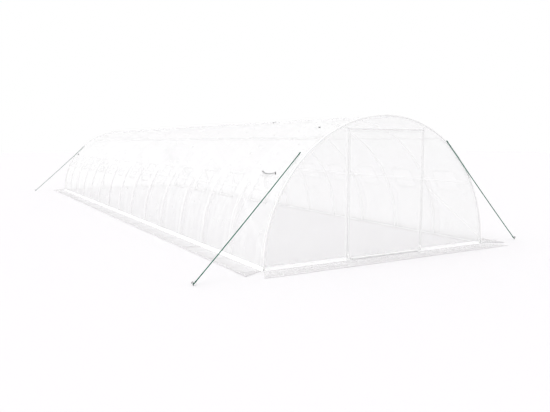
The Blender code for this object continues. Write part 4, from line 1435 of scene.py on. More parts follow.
@dataclass
class EndWalls:
    """The film of each end: a half disc with a doorway, and its skirt on the ground."""

    arch: Arch
    cover: Cover
    radius: float = 1.9982
    inner_y: float = 7.0166
    film: float = 0.0012
    skirt: float = 0.38
    flare: float = 0.19
    door_half: float = 0.65
    door_top: float = 1.75
    sill: float = 0.05

    def rise(self, x: float) -> float:
        """Return the height of the wall above a place across."""
        return math.sqrt(max(0.0, self.radius ** 2 - x * x))

    def columns(self) -> list[float]:
        """Return the places across, closer together towards the feet and with lines on the doorway's edges."""
        half = self.door_half
        edge = math.degrees(math.asin(half / self.radius))
        left = [-self.radius * math.sin(math.radians(turn)) for turn in steps_between(90.0, edge, 34)]
        middle = steps_between(-half, half, 26)
        return left + middle + [half] + [-x for x in reversed(left)]

    def rows(self) -> list[float]:
        """Return the rows as heights at the doorway, negative out along the skirt."""
        skirt = steps_between(-self.skirt, -0.02, 12) + [-0.02, -0.006]
        upper = steps_between(self.door_top, self.rise(self.door_half), 5) + [self.rise(self.door_half)]
        return skirt + [0.0] + steps_between(self.sill, self.door_top, 40) + upper

    def relief(self, x: float, z: float) -> float:
        """Return how far the wall bellies out between its edges, clear of the door."""
        edge = smoothstep(0.0, 0.5, self.rise(x) - z)
        clear = smoothstep(self.door_half + 0.06, self.door_half + 0.30, abs(x))
        clear = max(clear, smoothstep(self.door_top + 0.05, self.door_top + 0.16, z))
        drape = 0.5 + 0.5 * noise.noise(Vector((x * 2.6, z * 1.3, 5.0)))
        pull = 0.5 + 0.5 * math.sin(math.tau * (abs(x) * 3.2 + z * 1.1) + 1.5 * noise.noise(Vector((x * 2.0, z * 2.0, 8.0))))
        return edge * clear * smoothstep(0.0, 0.12, z) * (0.006 * drape + 0.0025 * pull)

    def point(self, x: float, row: float) -> Vector:
        """Return the outer face of the front wall or its skirt.

        Args:
            x: Place across.
            row: Height at the doorway, negative out along the skirt.

        Returns:
            The point.
        """
        outer = self.inner_y + self.film
        if row < 0.0:
            ragged = 0.010 * noise.noise(Vector((x * 2.1, 3.0, 0.0))) - 0.010
            out = -row * (1.0 + ragged / self.skirt)
            loose = smoothstep(0.03, 0.15, out)
            wave = 0.5 + 0.5 * noise.noise(Vector((x * 3.4, out * 6.0, 2.0)))
            fine = 0.5 + 0.5 * noise.noise(Vector((x * 12.0, out * 15.0, 9.0)))
            pleats = 0.5 + 0.5 * math.sin(math.tau * (x * 1.9 + 0.35 * noise.noise(Vector((x, out * 2.0, 4.0)))))
            height = loose * (0.006 * wave + 0.001 * fine + 0.004 * pleats ** 6)
            corner = smoothstep(self.radius - 0.45, self.radius, abs(x)) * math.copysign(self.flare, x)
            return Vector((x + corner * out / self.skirt, -outer - out, self.film + 0.0005 + height))
        height = self.rise(x)
        full = self.rise(self.door_half)
        if abs(x) < self.door_half and row > self.door_top:
            share = (row - self.door_top) / (full - self.door_top)
            z = self.door_top + (height - self.door_top) * share
        elif abs(x) < self.door_half:
            z = row
        else:
            z = row * height / full
        z = max(z, self.film + 0.0005)
        return Vector((x, -outer - self.relief(x, z), z))

    def build(self, finish: bpy.types.Material) -> None:
        """Make the front wall, and the same one turned round for the back."""
        for end in End:
            piece = Piece(f"{end.word}_end_film")
            piece.sheet(self.columns(), self.rows(), self.point, lambda place: Vector((0.0, -1.0, 0.4)),
                        lambda x, row: abs(x) < self.door_half and self.sill < row < self.door_top)
            bmesh.ops.remove_doubles(piece.bm, verts=piece.bm.verts, dist=0.0002)
            piece.turned(end)
            wall = piece.done(finish, smooth=70.0, thickness=self.film,
                              stands_for=[f"{end.word}_end_wall"])
            area = math.pi * self.radius ** 2 / 2 - 2.0 * self.door_half * (self.door_top - self.sill)
            area += 2.0 * self.radius * self.skirt
        LOG.info("made 2 end walls")


@dataclass
class DoorCurtains:
    """The door curtain of each end, hanging shut; its zips and its rolled hem with the bar are made by the zips."""

    arch: Arch
    half_width: float = 0.69
    bottom: float = 0.008
    top: float = 1.79
    inner_y: float = 7.0193
    film: float = 0.0009
    folds: int = 6
    fold_depth: float = 0.004
    keep: float = 0.066
    lift: float = 1.65

    def point(self, x: float, z: float) -> Vector:
        """Return the outer face of the front curtain, with soft folds that hang from its top."""
        inside = smoothstep(0.62, 0.57, abs(x)) if abs(x) > 0.57 else 1.0
        wander = 0.18 * noise.noise(Vector((x * 1.5, z * 0.8, 3.0)))
        fold = 0.5 + 0.5 * math.cos(math.tau * (self.folds * (x + 0.62) / 1.24 + wander))
        slack = 0.5 + 0.5 * noise.noise(Vector((x * 3.0, z * 1.7, 6.0)))
        hang = 0.55 + 0.45 * smoothstep(self.top, self.top - 0.5, z) if z < self.top else 0.55
        depth = inside * hang * self.fold_depth * (0.75 * (1.0 - fold) + 0.25 * slack)
        return Vector((x, -self.inner_y - self.film - depth, z))

    def build(self, finish: bpy.types.Material) -> None:
        """Make both curtains."""
        for end in End:
            piece = Piece(f"{end.word}_curtain_film")
            columns = steps_between(-self.half_width, self.half_width, 60) + [self.half_width]
            rows = steps_between(self.bottom, self.top, 48) + [self.top]
            piece.sheet(columns, rows, self.point, lambda place: Vector((0.0, -1.0, 0.0)))
            piece.turned(end)
            curtain = piece.done(finish, smooth=70.0, thickness=self.film,
                                 stands_for=[f"{end.word}_door_curtain"])
            fixed(curtain)
            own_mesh(curtain)
        LOG.info("made 2 door curtains")


@dataclass
class SewnTapes:
    """The white tapes along the cover's seams, rims and feet, and the cord in the hem of each skirt, whose grey is
    painted shade under the skirt's edge.
    """

    arch: Arch
    cover: Cover
    ends: EndWalls
    half: float = 0.020
    lift: float = 0.0009
    thick: float = 0.0006
    hem_cord: float = 0.0034
    fold_rows: tuple[float, ...] = (-0.036, -0.024, -0.012, -0.003, 0.003, 0.016, 0.030, 0.044)

    def along(self) -> list[float]:
        """Return the places along the tunnel where a tape is shaped."""
        reach = self.cover.end_reach
        return [-reach] + steps_between(-self.arch.half_length, self.arch.half_length, 168) + [self.arch.half_length, reach]

    def wall_tape(self, name: str, side: Side, row: float, finish: bpy.types.Material) -> None:
        """Sew a tape along one wall, at a length up the arch."""
        piece = Piece(f"{side.word}_{name}")
        piece.sheet(self.along(), [-self.half, 0.0, self.half],
                    lambda y, across: self.cover.inner(side, y, row + across, self.lift), self.arch.outward)
        piece.done(finish, thickness=self.thick)

    def rim(self, end: End, finish: bpy.types.Material) -> None:
        """Fold a binding over the cover's rim and onto the end wall."""
        piece = Piece(f"{end.word}_rim_binding")
        reach = self.cover.end_reach + self.lift
        outer = self.arch.radius + self.lift
        length = math.radians(179.0) * self.arch.radius

        def fold(along: float, across: float) -> Vector:
            """Return a point of the binding: on the cover where across is negative, else on the end wall."""
            angle = 0.5 + math.degrees(along / self.arch.radius)
            return self.arch.point(outer - max(0.0, across), angle, -reach + max(0.0, -across))

        piece.sheet(steps_between(0.0, length, 144) + [length], [-self.half, -0.008, -0.0004, 0.0004, 0.008, self.half], fold,
                    lambda place: Vector((place.x, -1.0, place.z)))
        piece.turned(end)
        piece.done(finish, smooth=60.0, thickness=self.thick)

    def side_foot(self, side: Side, finish: bpy.types.Material) -> None:
        """Sew the tape that is folded along the foot of one wall, half on its skirt."""
        piece = Piece(f"{side.word}_foot_tape")

        def fold(y: float, across: float) -> Vector:
            """Return a point of the tape: on the skirt where across is negative, else on the wall."""
            if across < 0.0:
                return self.cover.wall_point(side, y, across) + Vector((0.0, 0.0, self.lift))
            place = self.cover.inner(side, y, across, self.lift)
            place.z = max(place.z, self.cover.film + self.lift)
            return place

        piece.sheet(self.along(), self.fold_rows, fold, lambda place: Vector((place.x, 0.0, 1.0)))
        piece.done(finish, smooth=95.0, thickness=self.thick)

    def end_foot(self, end: End, finish: bpy.types.Material) -> None:
        """Sew the tape that is folded along the foot of one end wall, half on its skirt."""
        piece = Piece(f"{end.word}_foot_tape")
        columns = steps_between(-1.985, 1.985, 96) + [1.985]

        def fold(x: float, across: float) -> Vector:
            """Return a point of the tape: on the skirt where across is negative, else on the wall."""
            if across < 0.0:
                return self.ends.point(x, across) + Vector((0.0, 0.0, self.lift))
            z = min(max(across, self.ends.film + self.lift), self.ends.rise(x) + 0.004)
            return Vector((x, -self.ends.inner_y - self.ends.film - self.lift - self.ends.relief(x, z), z))

        piece.sheet(columns, self.fold_rows, fold, lambda place: Vector((0.0, -1.0, 1.0)))
        piece.turned(end)
        piece.done(finish, smooth=95.0, thickness=self.thick)

    def cord(self, name: str, points: list[Vector], end: End, finish: bpy.types.Material) -> None:
        """Lay the hem cord along the outer edge of a skirt; the cord is real, and its grey is the painted contact
        shadow under the edge.
        """
        piece = Piece(name)
        lifted = [point + Vector((0.0, 0.0, self.hem_cord)) for point in points]
        rod = piece.tube(self.hem_cord, Rail(lifted).length, len(points) * 2, 7)
        piece.bend(rod, lifted)
        piece.turned(end)
        piece.done(finish)

    def eyelets(self, finish: bpy.types.Material) -> None:
        """Press an eyelet into the side skirts at every bay, and five into each end skirt."""
        for side in Side:
            piece = Piece(f"{side.word}_skirt_eyelets")
            for bay in self.cover.bays():
                seat = self.cover.wall_point(side, self.cover.middle(bay), 0.045 - self.cover.skirt_width)
                piece.ring(0.0085, 0.0022, Matrix.Translation(seat + Vector((0.0, 0.0, 0.0006))), 16, 6)
            piece.done(finish)
        for end in End:
            piece = Piece(f"{end.word}_skirt_eyelets")
            for x in (-1.8, -0.9, 0.0, 0.9, 1.8):
                seat = self.ends.point(x, 0.045 - self.ends.skirt)
                piece.ring(0.0085, 0.0022, Matrix.Translation(seat + Vector((0.0, 0.0, 0.0006))), 16, 6)
            piece.turned(end)
            piece.done(finish)

    def build(self, finishes: Finishes) -> None:
        """Make every tape, binding, hem cord and eyelet."""
        seam = math.radians(self.cover.seam_angle) * self.arch.radius
        for side in Side:
            self.wall_tape("seam_tape", side, seam, finishes.seam_tape)
            self.side_foot(side, finishes.webbing)
            edge = [self.cover.wall_point(side, y, -self.cover.skirt_width) for y in self.along()]
            self.cord(f"{side.word}_skirt_hem", edge, End.FRONT, finishes.hem)
        reach = self.ends.radius
        for end in End:
            self.rim(end, finishes.rim_tape)
            self.end_foot(end, finishes.webbing)
            edge = [self.ends.point(x, -self.ends.skirt) for x in steps_between(-reach, reach, 90) + [reach]]
            self.cord(f"{end.word}_skirt_hem", edge, end, finishes.hem)
        self.eyelets(finishes.fitting)
        LOG.info("sewed the tapes and hems")


@dataclass
class WindowTrim:
    """The narrow tapes round the windows and flaps, and the ties that hold a lifted flap."""

    arch: Arch
    flaps: WindowFlaps
    tape: float = 0.012
    thick: float = 0.0005
    tie_angle: float = 36.9

    def frame(self, piece: Piece, ys: tuple[float, float], rows: tuple[float, float],
              place: Callable[[float, float], Vector], top: bool = True) -> None:
        """Add the tapes along the edges of one window or flap.

        Args:
            piece: The piece that takes them.
            ys: The lowest and highest place along.
            rows: The lowest and highest length up the arch.
            place: Gives the point of a place along and a length up.
            top: Whether the top edge has a tape too.
        """
        half = self.tape / 2
        across = [-half, half]
        runs = [(rows[0] + half, ys, True)] + [(y, rows, False) for y in (ys[0] + half, ys[1] - half)]
        if top:
            runs.append((rows[1] - half, ys, True))
        for fixed_at, (low, high), level in runs:
            spread = steps_between(low, high, 12) + [high]
            if level:
                piece.sheet(spread, across, lambda u, v, at=fixed_at: place(u, at + v), self.arch.outward)
            else:
                piece.sheet(spread, across, lambda u, v, at=fixed_at: place(at + v, u), self.arch.outward)

    def toggle(self, piece: Piece, seat: Vector, axis: Vector, length: float, radius: float) -> None:
        """Add a waisted toggle.

        Args:
            piece: The piece that takes it.
            seat: Its middle.
            axis: The direction that it lies along.
            length: Its length.
            radius: Its radius at the ends.
        """
        turn = axis.to_track_quat("Z", "Y").to_matrix().to_4x4()
        made = bmesh.ops.create_uvsphere(piece.bm, u_segments=14, v_segments=10, radius=1.0)["verts"]
        for vertex in made:
            waist = 0.74 + 0.26 * abs(vertex.co.z)
            vertex.co = Vector((vertex.co.x * radius * waist, vertex.co.y * radius * waist, vertex.co.z * length / 2))
        bmesh.ops.transform(piece.bm, matrix=Matrix.Translation(seat) @ turn, verts=made)

    def ties(self, side: Side, cloth: bpy.types.Material, plastic: bpy.types.Material) -> None:
        """Sew two short straps over each window, each with a toggle at its end."""
        straps = Piece(f"{side.word}_flap_ties")
        toggles = Piece(f"{side.word}_flap_toggles")
        for bay in self.flaps.cover.bays():
            for offset in (-0.15, 0.15):
                if side is Side.LEFT and (bay, offset) in ((0, 0.15), (13, 0.15), (0, -0.15)):
                    continue
                y = self.flaps.cover.middle(bay) + offset
                low = math.radians(self.tie_angle) * self.arch.radius
                columns = steps_between(low, low + 0.07, 8) + [low + 0.07]
                straps.sheet(columns, [-0.005, 0.005], lambda row, across: self.flaps.cover.inner(side, y + across, row, 0.0016),
                             self.arch.outward)
                self.toggle(toggles, self.flaps.cover.inner(side, y, low + 0.074, 0.0045), Vector((0.0, 1.0, 0.0)), 0.026, 0.0042)
        straps.done(cloth, thickness=self.thick)
        toggles.done(plastic)

    def dark_pieces(self, cloth: bpy.types.Material, plastic: bpy.types.Material) -> None:
        """Hang the dark strap by the first window, and set the dark toggles of the roof and the last window."""
        first, last = Vector((-1.588, -6.253, 1.216)), Vector((-1.594, -6.612, 1.208))
        strap = Piece("left_dark_strap")
        out = self.arch.outward(first).normalized()

        def hang(along: float, across: float) -> Vector:
            """Return a point of the strap between its two ends."""
            point = first.lerp(last, along / 0.36)
            drop = 0.034 * bow(along / 0.36)
            down = Vector((-math.sin(math.atan2(out.z, -out.x)), 0.0, -math.cos(math.atan2(out.z, -out.x))))
            return point + down * (drop + across) + out * (0.0035 + 0.002 * bow(along / 0.36))

        strap.sheet(steps_between(0.0, 0.36, 30) + [0.36], [-0.0045, 0.0045], hang, self.arch.outward)
        strap.done(cloth, thickness=0.0012)
        toggles = Piece("dark_toggles")
        for seat, axis, length, radius in (
            (last, Vector((0.2, 0.3, 1.0)), 0.046, 0.0080), (first, Vector((0.0, 1.0, 0.1)), 0.040, 0.0075),
            (Vector((-1.589, 6.589, 1.215)), Vector((0.2, 0.3, 1.0)), 0.055, 0.011),
            (Vector((-0.797, -6.480, 1.834)), Vector((0.0, 1.0, 0.0)), 0.060, 0.0075),
            (Vector((-0.400, -4.485, 1.960)), Vector((0.0, 1.0, 0.0)), 0.046, 0.0075),
            (Vector((-0.286, -4.357, 1.979)), Vector((0.3, 1.0, 0.0)), 0.040, 0.0075),
        ):
            angle = math.degrees(math.atan2(seat.z, -seat.x))
            self.toggle(toggles, self.arch.skin(angle, seat.y, radius + 0.0006), axis, length, radius)
        toggles.done(plastic)

    def roof_ring(self, plastic: bpy.types.Material) -> None:
        """Lay the pale ring that is sewn flat on the roof above the front hoop."""
        seat = Vector((-0.806, -6.915, 1.830))
        angle = math.degrees(math.atan2(seat.z, -seat.x))
        out = self.arch.point(1.0, angle, 0.0)
        along = Vector((0.0, 1.0, 0.0))
        turn = Matrix((along.cross(out), along, out)).transposed().to_4x4()
        piece = Piece("roof_ring")
        piece.ring(0.026, 0.0030, Matrix.Translation(self.arch.skin(angle, seat.y, 0.0034)) @ turn, 28, 8)
        piece.done(plastic)

    def build(self, finishes: Finishes) -> None:
        """Make the trim of both walls."""
        cover = self.flaps.cover
        low, high = (math.radians(angle) * self.arch.radius for angle in (cover.window_low, cover.window_high))
        for side in Side:
            frames = Piece(f"{side.word}_window_frame_tapes")
            headers = Piece(f"{side.word}_flap_header_tapes")
            for bay in cover.bays():
                middle = cover.middle(bay)
                reach = cover.window_half + self.tape
                rows = cover.window_rows()
                self.frame(frames, (middle - reach, middle + reach), (rows[0] - self.tape, rows[-1] + self.tape),
                           lambda y, row: cover.inner(side, y, row, 0.0007))
                half = self.flaps.half_width
                headers.sheet(steps_between(middle - half, middle + half, 12) + [middle + half], [0.0005, 0.0125],
                              lambda y, across: cover.inner(side, y, high + across, 0.0016), self.arch.outward)
            frames.done(finishes.frame_tape, thickness=self.thick)
            headers.done(finishes.frame_tape, thickness=self.thick)
            bay = 0
            for group, size in enumerate(self.flaps.groups, start=1):
                hems = Piece(f"{side.word}_flap_hems_{group}")
                for _ in range(size):
                    middle, half = cover.middle(bay), self.flaps.half_width
                    self.frame(hems, (middle - half, middle + half), (low, high),
                               lambda y, row, at=bay: self.flaps.face(side, at, y, row, 0.0007), top=False)
                    bay += 1
                hems.done(finishes.frame_tape, body=f"{side.word}_flaps_{group}", thickness=self.thick)
            self.ties(side, finishes.frame_tape, finishes.pale_toggle)
        self.dark_pieces(finishes.dark_strap, finishes.dark_toggle)
        self.roof_ring(finishes.pale_toggle)
        LOG.info("made the window trim")


@dataclass
class Zips:
    """The zips along both edges of each door, their sliders, and the rolled hem with its bar."""

    curtains: DoorCurtains
    line_x: float = 0.670
    low: float = 0.060
    high: float = 1.775
    pitch: float = 0.0045
    face_y: float = 7.0202
    slider: Point = (0.014, 0.008, 0.030)
    pull: Point = (0.007, 0.0016, 0.030)
    roll_y: float = 7.0365
    roll_z: float = 0.022
    roll_radius: float = 0.012
    roll_length: float = 1.24

    def tape(self, end: End, side: Side, cloth: bpy.types.Material, plastic: bpy.types.Material) -> None:
        """Make one zip: a tape on the door's edge and a row of teeth on it."""
        named = self.named(end, side)
        x = side.value * self.line_x
        cloth_strip = Piece(f"{end.word}_{named}_zip_tape")
        cloth_strip.sheet(steps_between(self.low, self.high, 60) + [self.high], [-0.013, 0.0, 0.013],
                          lambda z, across: Vector((x + across, -self.face_y - 0.0005, z)), lambda place: Vector((0.0, -1.0, 0.0)))
        cloth_strip.turned(end)
        teeth = Piece(f"{end.word}_{named}_zip_teeth")
        for number in range(int((self.high - self.low) / self.pitch)):
            z = self.low + (number + 0.5) * self.pitch
            shift = 0.0009 if number % 2 else -0.0009
            teeth.block((0.0048, 0.0014, 0.0026), Matrix.Translation((x + shift, -self.face_y - 0.0011, z)))
        teeth.turned(end)
        for item in (cloth_strip.done(cloth, thickness=0.0004), teeth.done(plastic)):
            fixed(item)
            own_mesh(item)

    def named(self, end: End, side: Side) -> str:
        """Return the word that the nodes use for a side, which turns round with the back end."""
        return side.word if end is End.FRONT else ("left" if side is Side.RIGHT else "right")

    def puller(self, end: End, side: Side, plastic: bpy.types.Material) -> None:
        """Make one slider: a waisted body, a bridge and a pull that hangs from it."""
        named = self.named(end, side)
        x, middle = side.value * self.line_x, self.low + self.slider[2] / 2
        piece = Piece(f"{end.word}_{named}_zip_slider_body")
        front = -self.face_y - self.slider[1]
        body = piece.block((self.slider[0], self.slider[1] * 0.55, self.slider[2]),
                           Matrix.Translation((x, -self.face_y - self.slider[1] * 0.275, middle)), 0.0016)
        for vertex in body:
            share = 0.72 + 0.28 * smoothstep(middle, middle + 0.012, vertex.co.z)
            vertex.co.x = x + (vertex.co.x - x) * share
        piece.block((0.0040, 0.0016, 0.018), Matrix.Translation((x, front + 0.0010, middle)), 0.0006)
        for z in (middle - 0.0085, middle + 0.0085):
            piece.block((0.0040, 0.0040, 0.0022), Matrix.Translation((x, front + 0.0026, z)), 0.0005)
        drop = middle - 0.006
        piece.block((self.pull[0], self.pull[1], self.pull[2] - 0.010),
                    Matrix.Translation((x, front - 0.0004, drop - 0.018)), 0.0005)
        piece.ring(0.0048, 0.0011, Matrix.Translation((x, front - 0.0002, drop - 0.0045)) @ Matrix.Rotation(math.pi / 2, 4, "X"), 16, 6)
        piece.turned(end)
        piece.done(plastic, body=f"{end.word}_{named}_slider", stands_for=[f"{end.word}_{named}_zip_slider"])

    def hem(self, end: End, film: bpy.types.Material, bar: bpy.types.Material) -> None:
        """Roll the door's hem round its bar."""
        half = self.roll_length / 2
        roll = Piece(f"{end.word}_door_hem_film")
        turns = 2.6
        length = math.tau * 0.0095 * turns

        def wound(x: float, along: float) -> Vector:
            """Return a point of the spiral."""
            share = along / length
            radius = self.roll_radius - 0.0036 * (1.0 - share) - 0.0002
            turn = math.tau * turns * share + 0.5
            return Vector((x, -self.roll_y + radius * math.cos(turn), self.roll_z + radius * math.sin(turn)))

        centre = Vector((0.0, -self.roll_y, self.roll_z))
        roll.sheet(steps_between(-half, half, 24) + [half], steps_between(0.0, length, 64) + [length], wound,
                   lambda place: Vector((0.0, place.y - centre.y, place.z - centre.z)))
        roll.turned(end)
        roll.done(film, body=f"{end.word}_door", smooth=60.0, thickness=0.0008,
                  stands_for=[f"{end.word}_door_hem_roll"])
        rod = Piece(f"{end.word}_door_hem_bar")
        place = Matrix.Translation(centre) @ Matrix.Rotation(math.pi / 2, 4, "Y")
        bmesh.ops.create_cone(rod.bm, cap_ends=True, segments=20, radius1=0.0076, radius2=0.0076, depth=self.roll_length, matrix=place)
        rims = [edge for edge in rod.bm.edges if abs(edge.verts[0].co.x - edge.verts[1].co.x) < 1e-6]
        bmesh.ops.bevel(rod.bm, geom=rims, offset=0.0012, segments=2, profile=0.5, affect="EDGES", material=-1)
        rod.turned(end)
        rod.done(bar, body=f"{end.word}_door")

    def top_tape(self, end: End, cloth: bpy.types.Material) -> None:
        """Sew a tape over the door's top edge."""
        piece = Piece(f"{end.word}_door_top_tape")
        z = self.curtains.top + 0.012
        piece.sheet(steps_between(-0.70, 0.70, 40) + [0.70], [-0.010, 0.010],
                    lambda x, across: Vector((x, -self.face_y - 0.0008, z + across)), lambda place: Vector((0.0, -1.0, 0.0)))
        piece.turned(end)
        piece.done(cloth, thickness=0.0006)

    def build(self, finishes: Finishes) -> None:
        """Make the zips, sliders, hems and top tapes of both doors."""
        for end in End:
            for side in Side:
                self.tape(end, side, finishes.zip_tape, finishes.zip_teeth)
                self.puller(end, side, finishes.zip_teeth)
            self.hem(end, finishes.rolled_film, finishes.steel)
            self.top_tape(end, finishes.webbing)
        LOG.info("made the zips and hems")


def fixed(item: bpy.types.Object) -> None:
    """Apply a piece's modifiers to its mesh."""
    bpy.context.view_layer.update()
    evaluated = item.evaluated_get(bpy.context.evaluated_depsgraph_get())
    mesh = bpy.data.meshes.new_from_object(evaluated)
    item.modifiers.clear()
    item.data = mesh


@dataclass
class RopePlace:
    """Where one guy rope runs: the side and angle of its top, and its peg on the ground."""

    name: str
    side: int
    angle: float
    top_y: float
    peg_x: float
    peg_y: float


@dataclass
class GuyRopes:
    """The four guy ropes, their pegs, and the loops that hold them to the cover."""

    arch: Arch
    diameter: float = 0.014
    rope_sag: float = 0.012
    lay_length: float = 0.052
    end_height: float = 0.020
    peg_diameter: float = 0.008
    peg_shank: float = 0.034
    hook_radius: float = 0.011
    hook_turn: float = 216.0
    path_steps: int = 48
    places: tuple[RopePlace, ...] = (
        RopePlace("front_left", -1, 48.0, -6.84, -3.040, -7.270),
        RopePlace("front_right", 1, 54.9, -7.0254, 2.762, -7.064),
        RopePlace("back_left", -1, 48.0, 6.80, -2.911, 7.076),
        RopePlace("back_right", 1, 48.0, 6.80, 2.911, 7.076),
    )

    def top(self, place: RopePlace) -> Vector:
        """Return where a rope's end lies on the cover, or against its rim at the front right."""
        arch = self.arch
        seat = self.diameter / 2 + arch.gap
        if abs(place.top_y) > arch.half_length:
            return arch.point(arch.radius - 0.0006, place.angle, place.top_y, place.side)
        return arch.point(arch.sagged(place.angle, place.top_y) + seat, place.angle, place.top_y, place.side)

    def path(self, place: RopePlace) -> list[Vector]:
        """Return the points of a taut rope, from the cover down to its peg."""
        top = self.top(place)
        peg = Vector((place.peg_x, place.peg_y, self.end_height))
        run = (peg - top).normalized()
        level = Vector((run.x, run.y, 0.0)).normalized()
        stop = self.peg_diameter / 2 + self.arch.gap + self.diameter / 2 * abs(run.z)
        low = peg - level * stop
        points = []
        for step in range(self.path_steps + 1):
            share = step / self.path_steps
            point = top.lerp(low, share)
            point.z -= self.rope_sag * bow(share)
            points.append(point)
        return points

    def peg(self, place: RopePlace, finish: bpy.types.Material) -> bpy.types.Object:
        """Make one peg: a shank out of the ground and a hook bent over the rope.

        Args:
            place: The rope that it holds.
            finish: The pegs' material.

        Returns:
            The peg, which stands for its node.
        """
        top = self.top(place)
        towards = Vector((top.x - place.peg_x, top.y - place.peg_y, 0.0)).normalized()
        points = [Vector((place.peg_x, place.peg_y, 0.0)), Vector((place.peg_x, place.peg_y, self.peg_shank))]
        bends = 14
        for step in range(1, bends + 1):
            turn = math.radians(self.hook_turn) * step / bends
            out = self.hook_radius * (1.0 - math.cos(turn))
            up = self.hook_radius * math.sin(turn)
            points.append(points[0] + Vector((0.0, 0.0, self.peg_shank + up)) - towards * out)
        piece = Piece(f"{place.name}_peg_hook")
        rail = Rail(points)
        rod = piece.tube(self.peg_diameter / 2, rail.length, 32, 12)
        piece.bend(rod, points)
        return piece.done(finish, stands_for=[f"{place.name}_peg"])

    def rope(self, place: RopePlace, finish: bpy.types.Material, peg: bpy.types.Object) -> bpy.types.Object:
        """Lay one rope of three strands along its path.

        Args:
            place: The rope.
            finish: The rope's material.
            peg: The peg at its far end; not used.

        Returns:
            The rope, which stands for its node.
        """
        points = self.path(place)
        length = Rail(points).length
        strand = self.diameter * 0.285
        turns = length / self.lay_length
        piece = Piece(f"{place.name}_rope")
        first = piece.tube(strand, length, round(turns * 6), 6, turns, self.diameter / 2 - strand)
        for third in (1, 2):
            copied = bmesh.ops.duplicate(piece.bm, geom=first + list({e for v in first for e in v.link_edges})
                                         + list({f for v in first for f in v.link_faces}))["geom"]
            fresh = [item for item in copied if isinstance(item, bmesh.types.BMVert)]
            bmesh.ops.rotate(piece.bm, verts=fresh, cent=(0.0, 0.0, 0.0),
                             matrix=Matrix.Rotation(math.tau * third / 3, 3, "Z"))
        piece.bend(piece.bm.verts, points)
        item = piece.done(finish, smooth=60.0, stands_for=[f"{place.name}_guy_rope"])
        ends = self.ends(place, points, finish)
        return item

    def ends(self, place: RopePlace, points: list[Vector], finish: bpy.types.Material) -> bpy.types.Object:
        """Bind both ends of a rope with twine, and loop it round its peg."""
        piece = Piece(f"{place.name}_rope_bindings")
        length = Rail(points).length
        for start in (0.012, length - 0.045):
            wound = piece.tube(0.0016, 0.024, 72, 6, 8.0, self.diameter / 2 + 0.0004)
            bmesh.ops.translate(piece.bm, verts=wound, vec=(0.0, 0.0, start))
            piece.bend(wound, points)
        for height in (self.end_height - 0.003, self.end_height + 0.003):
            piece.ring(self.peg_diameter / 2 + 0.0028, 0.0026, Matrix.Translation((place.peg_x, place.peg_y, height)), 16, 6)
        return piece.done(finish, smooth=60.0)

    def anchor(self, place: RopePlace, cloth: bpy.types.Material, metal: bpy.types.Material) -> None:
        """Sew a patch on the cover beside a rope's end, with a ring in a folded loop."""
        arch = self.arch
        angle = place.angle if place.side < 0 else 180.0 - place.angle
        inset = max(0.0, abs(place.top_y) - 6.965)
        middle = place.top_y - math.copysign(inset, place.top_y)
        row = math.radians(angle) * arch.radius
        patch = Piece(f"{place.name}_rope_patch")
        half = [-0.040 + 0.010 * step for step in range(9)]
        patch.sheet(half, half, lambda y, up: arch.skin(math.degrees((row + up) / arch.radius), middle + y, 0.0009), arch.outward)
        patch.done(cloth, thickness=0.0007)
        out = arch.point(1.0, angle, 0.0)
        along = Vector((0.0, 1.0, 0.0))
        turn = Matrix((along.cross(out), along, out)).transposed().to_4x4()
        seat = arch.skin(angle, middle, 0.0)
        fitting = Piece(f"{place.name}_rope_ring")
        fitting.ring(0.013, 0.0020, Matrix.Translation(seat + out * 0.0045 - along.cross(out) * 0.010) @ turn)
        fitting.done(metal)

    def build(self, finishes: Finishes) -> None:
        """Make all four ropes, their pegs and what holds them to the cover."""
        for place in self.places:
            peg = self.peg(place, finishes.peg)
            rope = self.rope(place, finishes.rope, peg)
            self.anchor(place, finishes.webbing, finishes.fitting)
            LOG.info("made %s and %s", rope.name, peg.name)


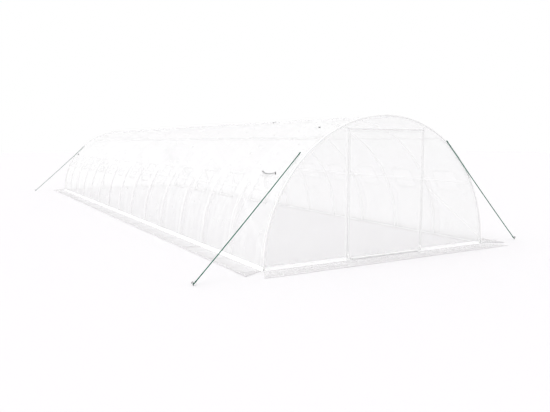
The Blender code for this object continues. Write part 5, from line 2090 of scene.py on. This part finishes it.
@dataclass
class Studio:
    """The camera at the photograph's angle, an even pale surround, one soft key light and the floor."""

    lens: float = 37.0
    camera_at: Point = (-5.361, -13.155, 1.614)
    camera_turn: Point = (83.56, 0.0, -29.93)
    surround: float = 1.0
    key: float = 0.86
    key_turn: Point = (4.0, -26.0, 0.0)
    key_spread: float = 60.0
    floor_size: float = 160.0
    floor_tint: Point = (0.806, 0.794, 0.808, 1.0)

    def camera(self) -> None:
        """Place the camera and make it the scene's own."""
        lens = bpy.data.cameras.new("camera")
        lens.lens = self.lens
        lens.sensor_width = 36.0
        lens.clip_end = 500.0
        item = bpy.data.objects.new("camera", lens)
        item.location = self.camera_at
        item.rotation_euler = [math.radians(turn) for turn in self.camera_turn]
        bpy.context.scene.collection.objects.link(item)
        bpy.context.scene.camera = item

    def light(self) -> None:
        """Set the even surround and hang the key light."""
        scene = bpy.context.scene
        scene.view_settings.view_transform = "Standard"
        world = bpy.data.worlds.new("surround")
        world.use_nodes = True
        backdrop = world.node_tree.nodes["Background"]
        backdrop.inputs["Color"].default_value = (1.0, 1.0, 1.0, 1.0)
        backdrop.inputs["Strength"].default_value = self.surround
        scene.world = world
        scene.cycles.transparent_max_bounces = 32
        scene.cycles.max_bounces = 16
        scene.cycles.diffuse_bounces = 9
        lamp = bpy.data.lights.new("key_light", "SUN")
        lamp.energy = self.key
        lamp.angle = math.radians(self.key_spread)
        item = bpy.data.objects.new("key_light", lamp)
        item.rotation_euler = [math.radians(turn) for turn in self.key_turn]
        scene.collection.objects.link(item)

    def floor(self) -> None:
        """Lay the plain pale floor."""
        bm = bmesh.new()
        bmesh.ops.create_grid(bm, x_segments=8, y_segments=8, size=self.floor_size / 2)
        bmesh.ops.translate(bm, verts=bm.verts, vec=(0.0, 0.0, -0.0005))
        mesh = bpy.data.meshes.new("floor")
        bm.to_mesh(mesh)
        bm.free()
        material = bpy.data.materials.new("floor_paper")
        material.use_nodes = True
        wires = Wiring(material.node_tree)
        shader = material.node_tree.nodes["Principled BSDF"]
        place = wires.node("TexCoord").outputs["Object"]
        grain = wires.noise(place, 14.0, 3.0)
        wires.join(wires.spread(grain, 0.3, 0.7, 0.86, 0.94), shader.inputs["Roughness"])
        shader.inputs["Base Color"].default_value = self.floor_tint
        shader.inputs["Specular IOR Level"].default_value = 0.1
        mesh.materials.append(material)
        item = bpy.data.objects.new("floor", mesh)
        bpy.context.scene.collection.objects.link(item)

    def build(self) -> None:
        """Make the camera, the light and the floor."""
        self.camera()
        self.light()
        self.floor()
        LOG.info("set the camera, light and floor")


def main() -> None:
    """Build the tent's looks piece by piece."""
    logging.basicConfig(level=logging.INFO, format="%(name)s: %(message)s")
    arch = Arch()
    finishes = Finishes()
    Studio().build()
    GuyRopes(arch).build(finishes)
    Hoops(arch).build(finishes.steel)
    LongTubes(arch).build(finishes.steel, finishes.fitting)
    Braces(arch).build(finishes.steel)
    DoorFrames(arch).build(finishes.steel, finishes.fitting)
    cover = Cover(arch)
    cover.build(finishes.cover, finishes.net)
    flaps = WindowFlaps(arch, cover)
    flaps.build(finishes.flaps)
    ends = EndWalls(arch, cover)
    ends.build(finishes.end)
    curtains = DoorCurtains(arch)
    curtains.build(finishes.curtain)
    SewnTapes(arch, cover, ends).build(finishes)
    WindowTrim(arch, flaps).build(finishes)
    Zips(curtains).build(finishes)


if __name__ == "__main__":
    main()
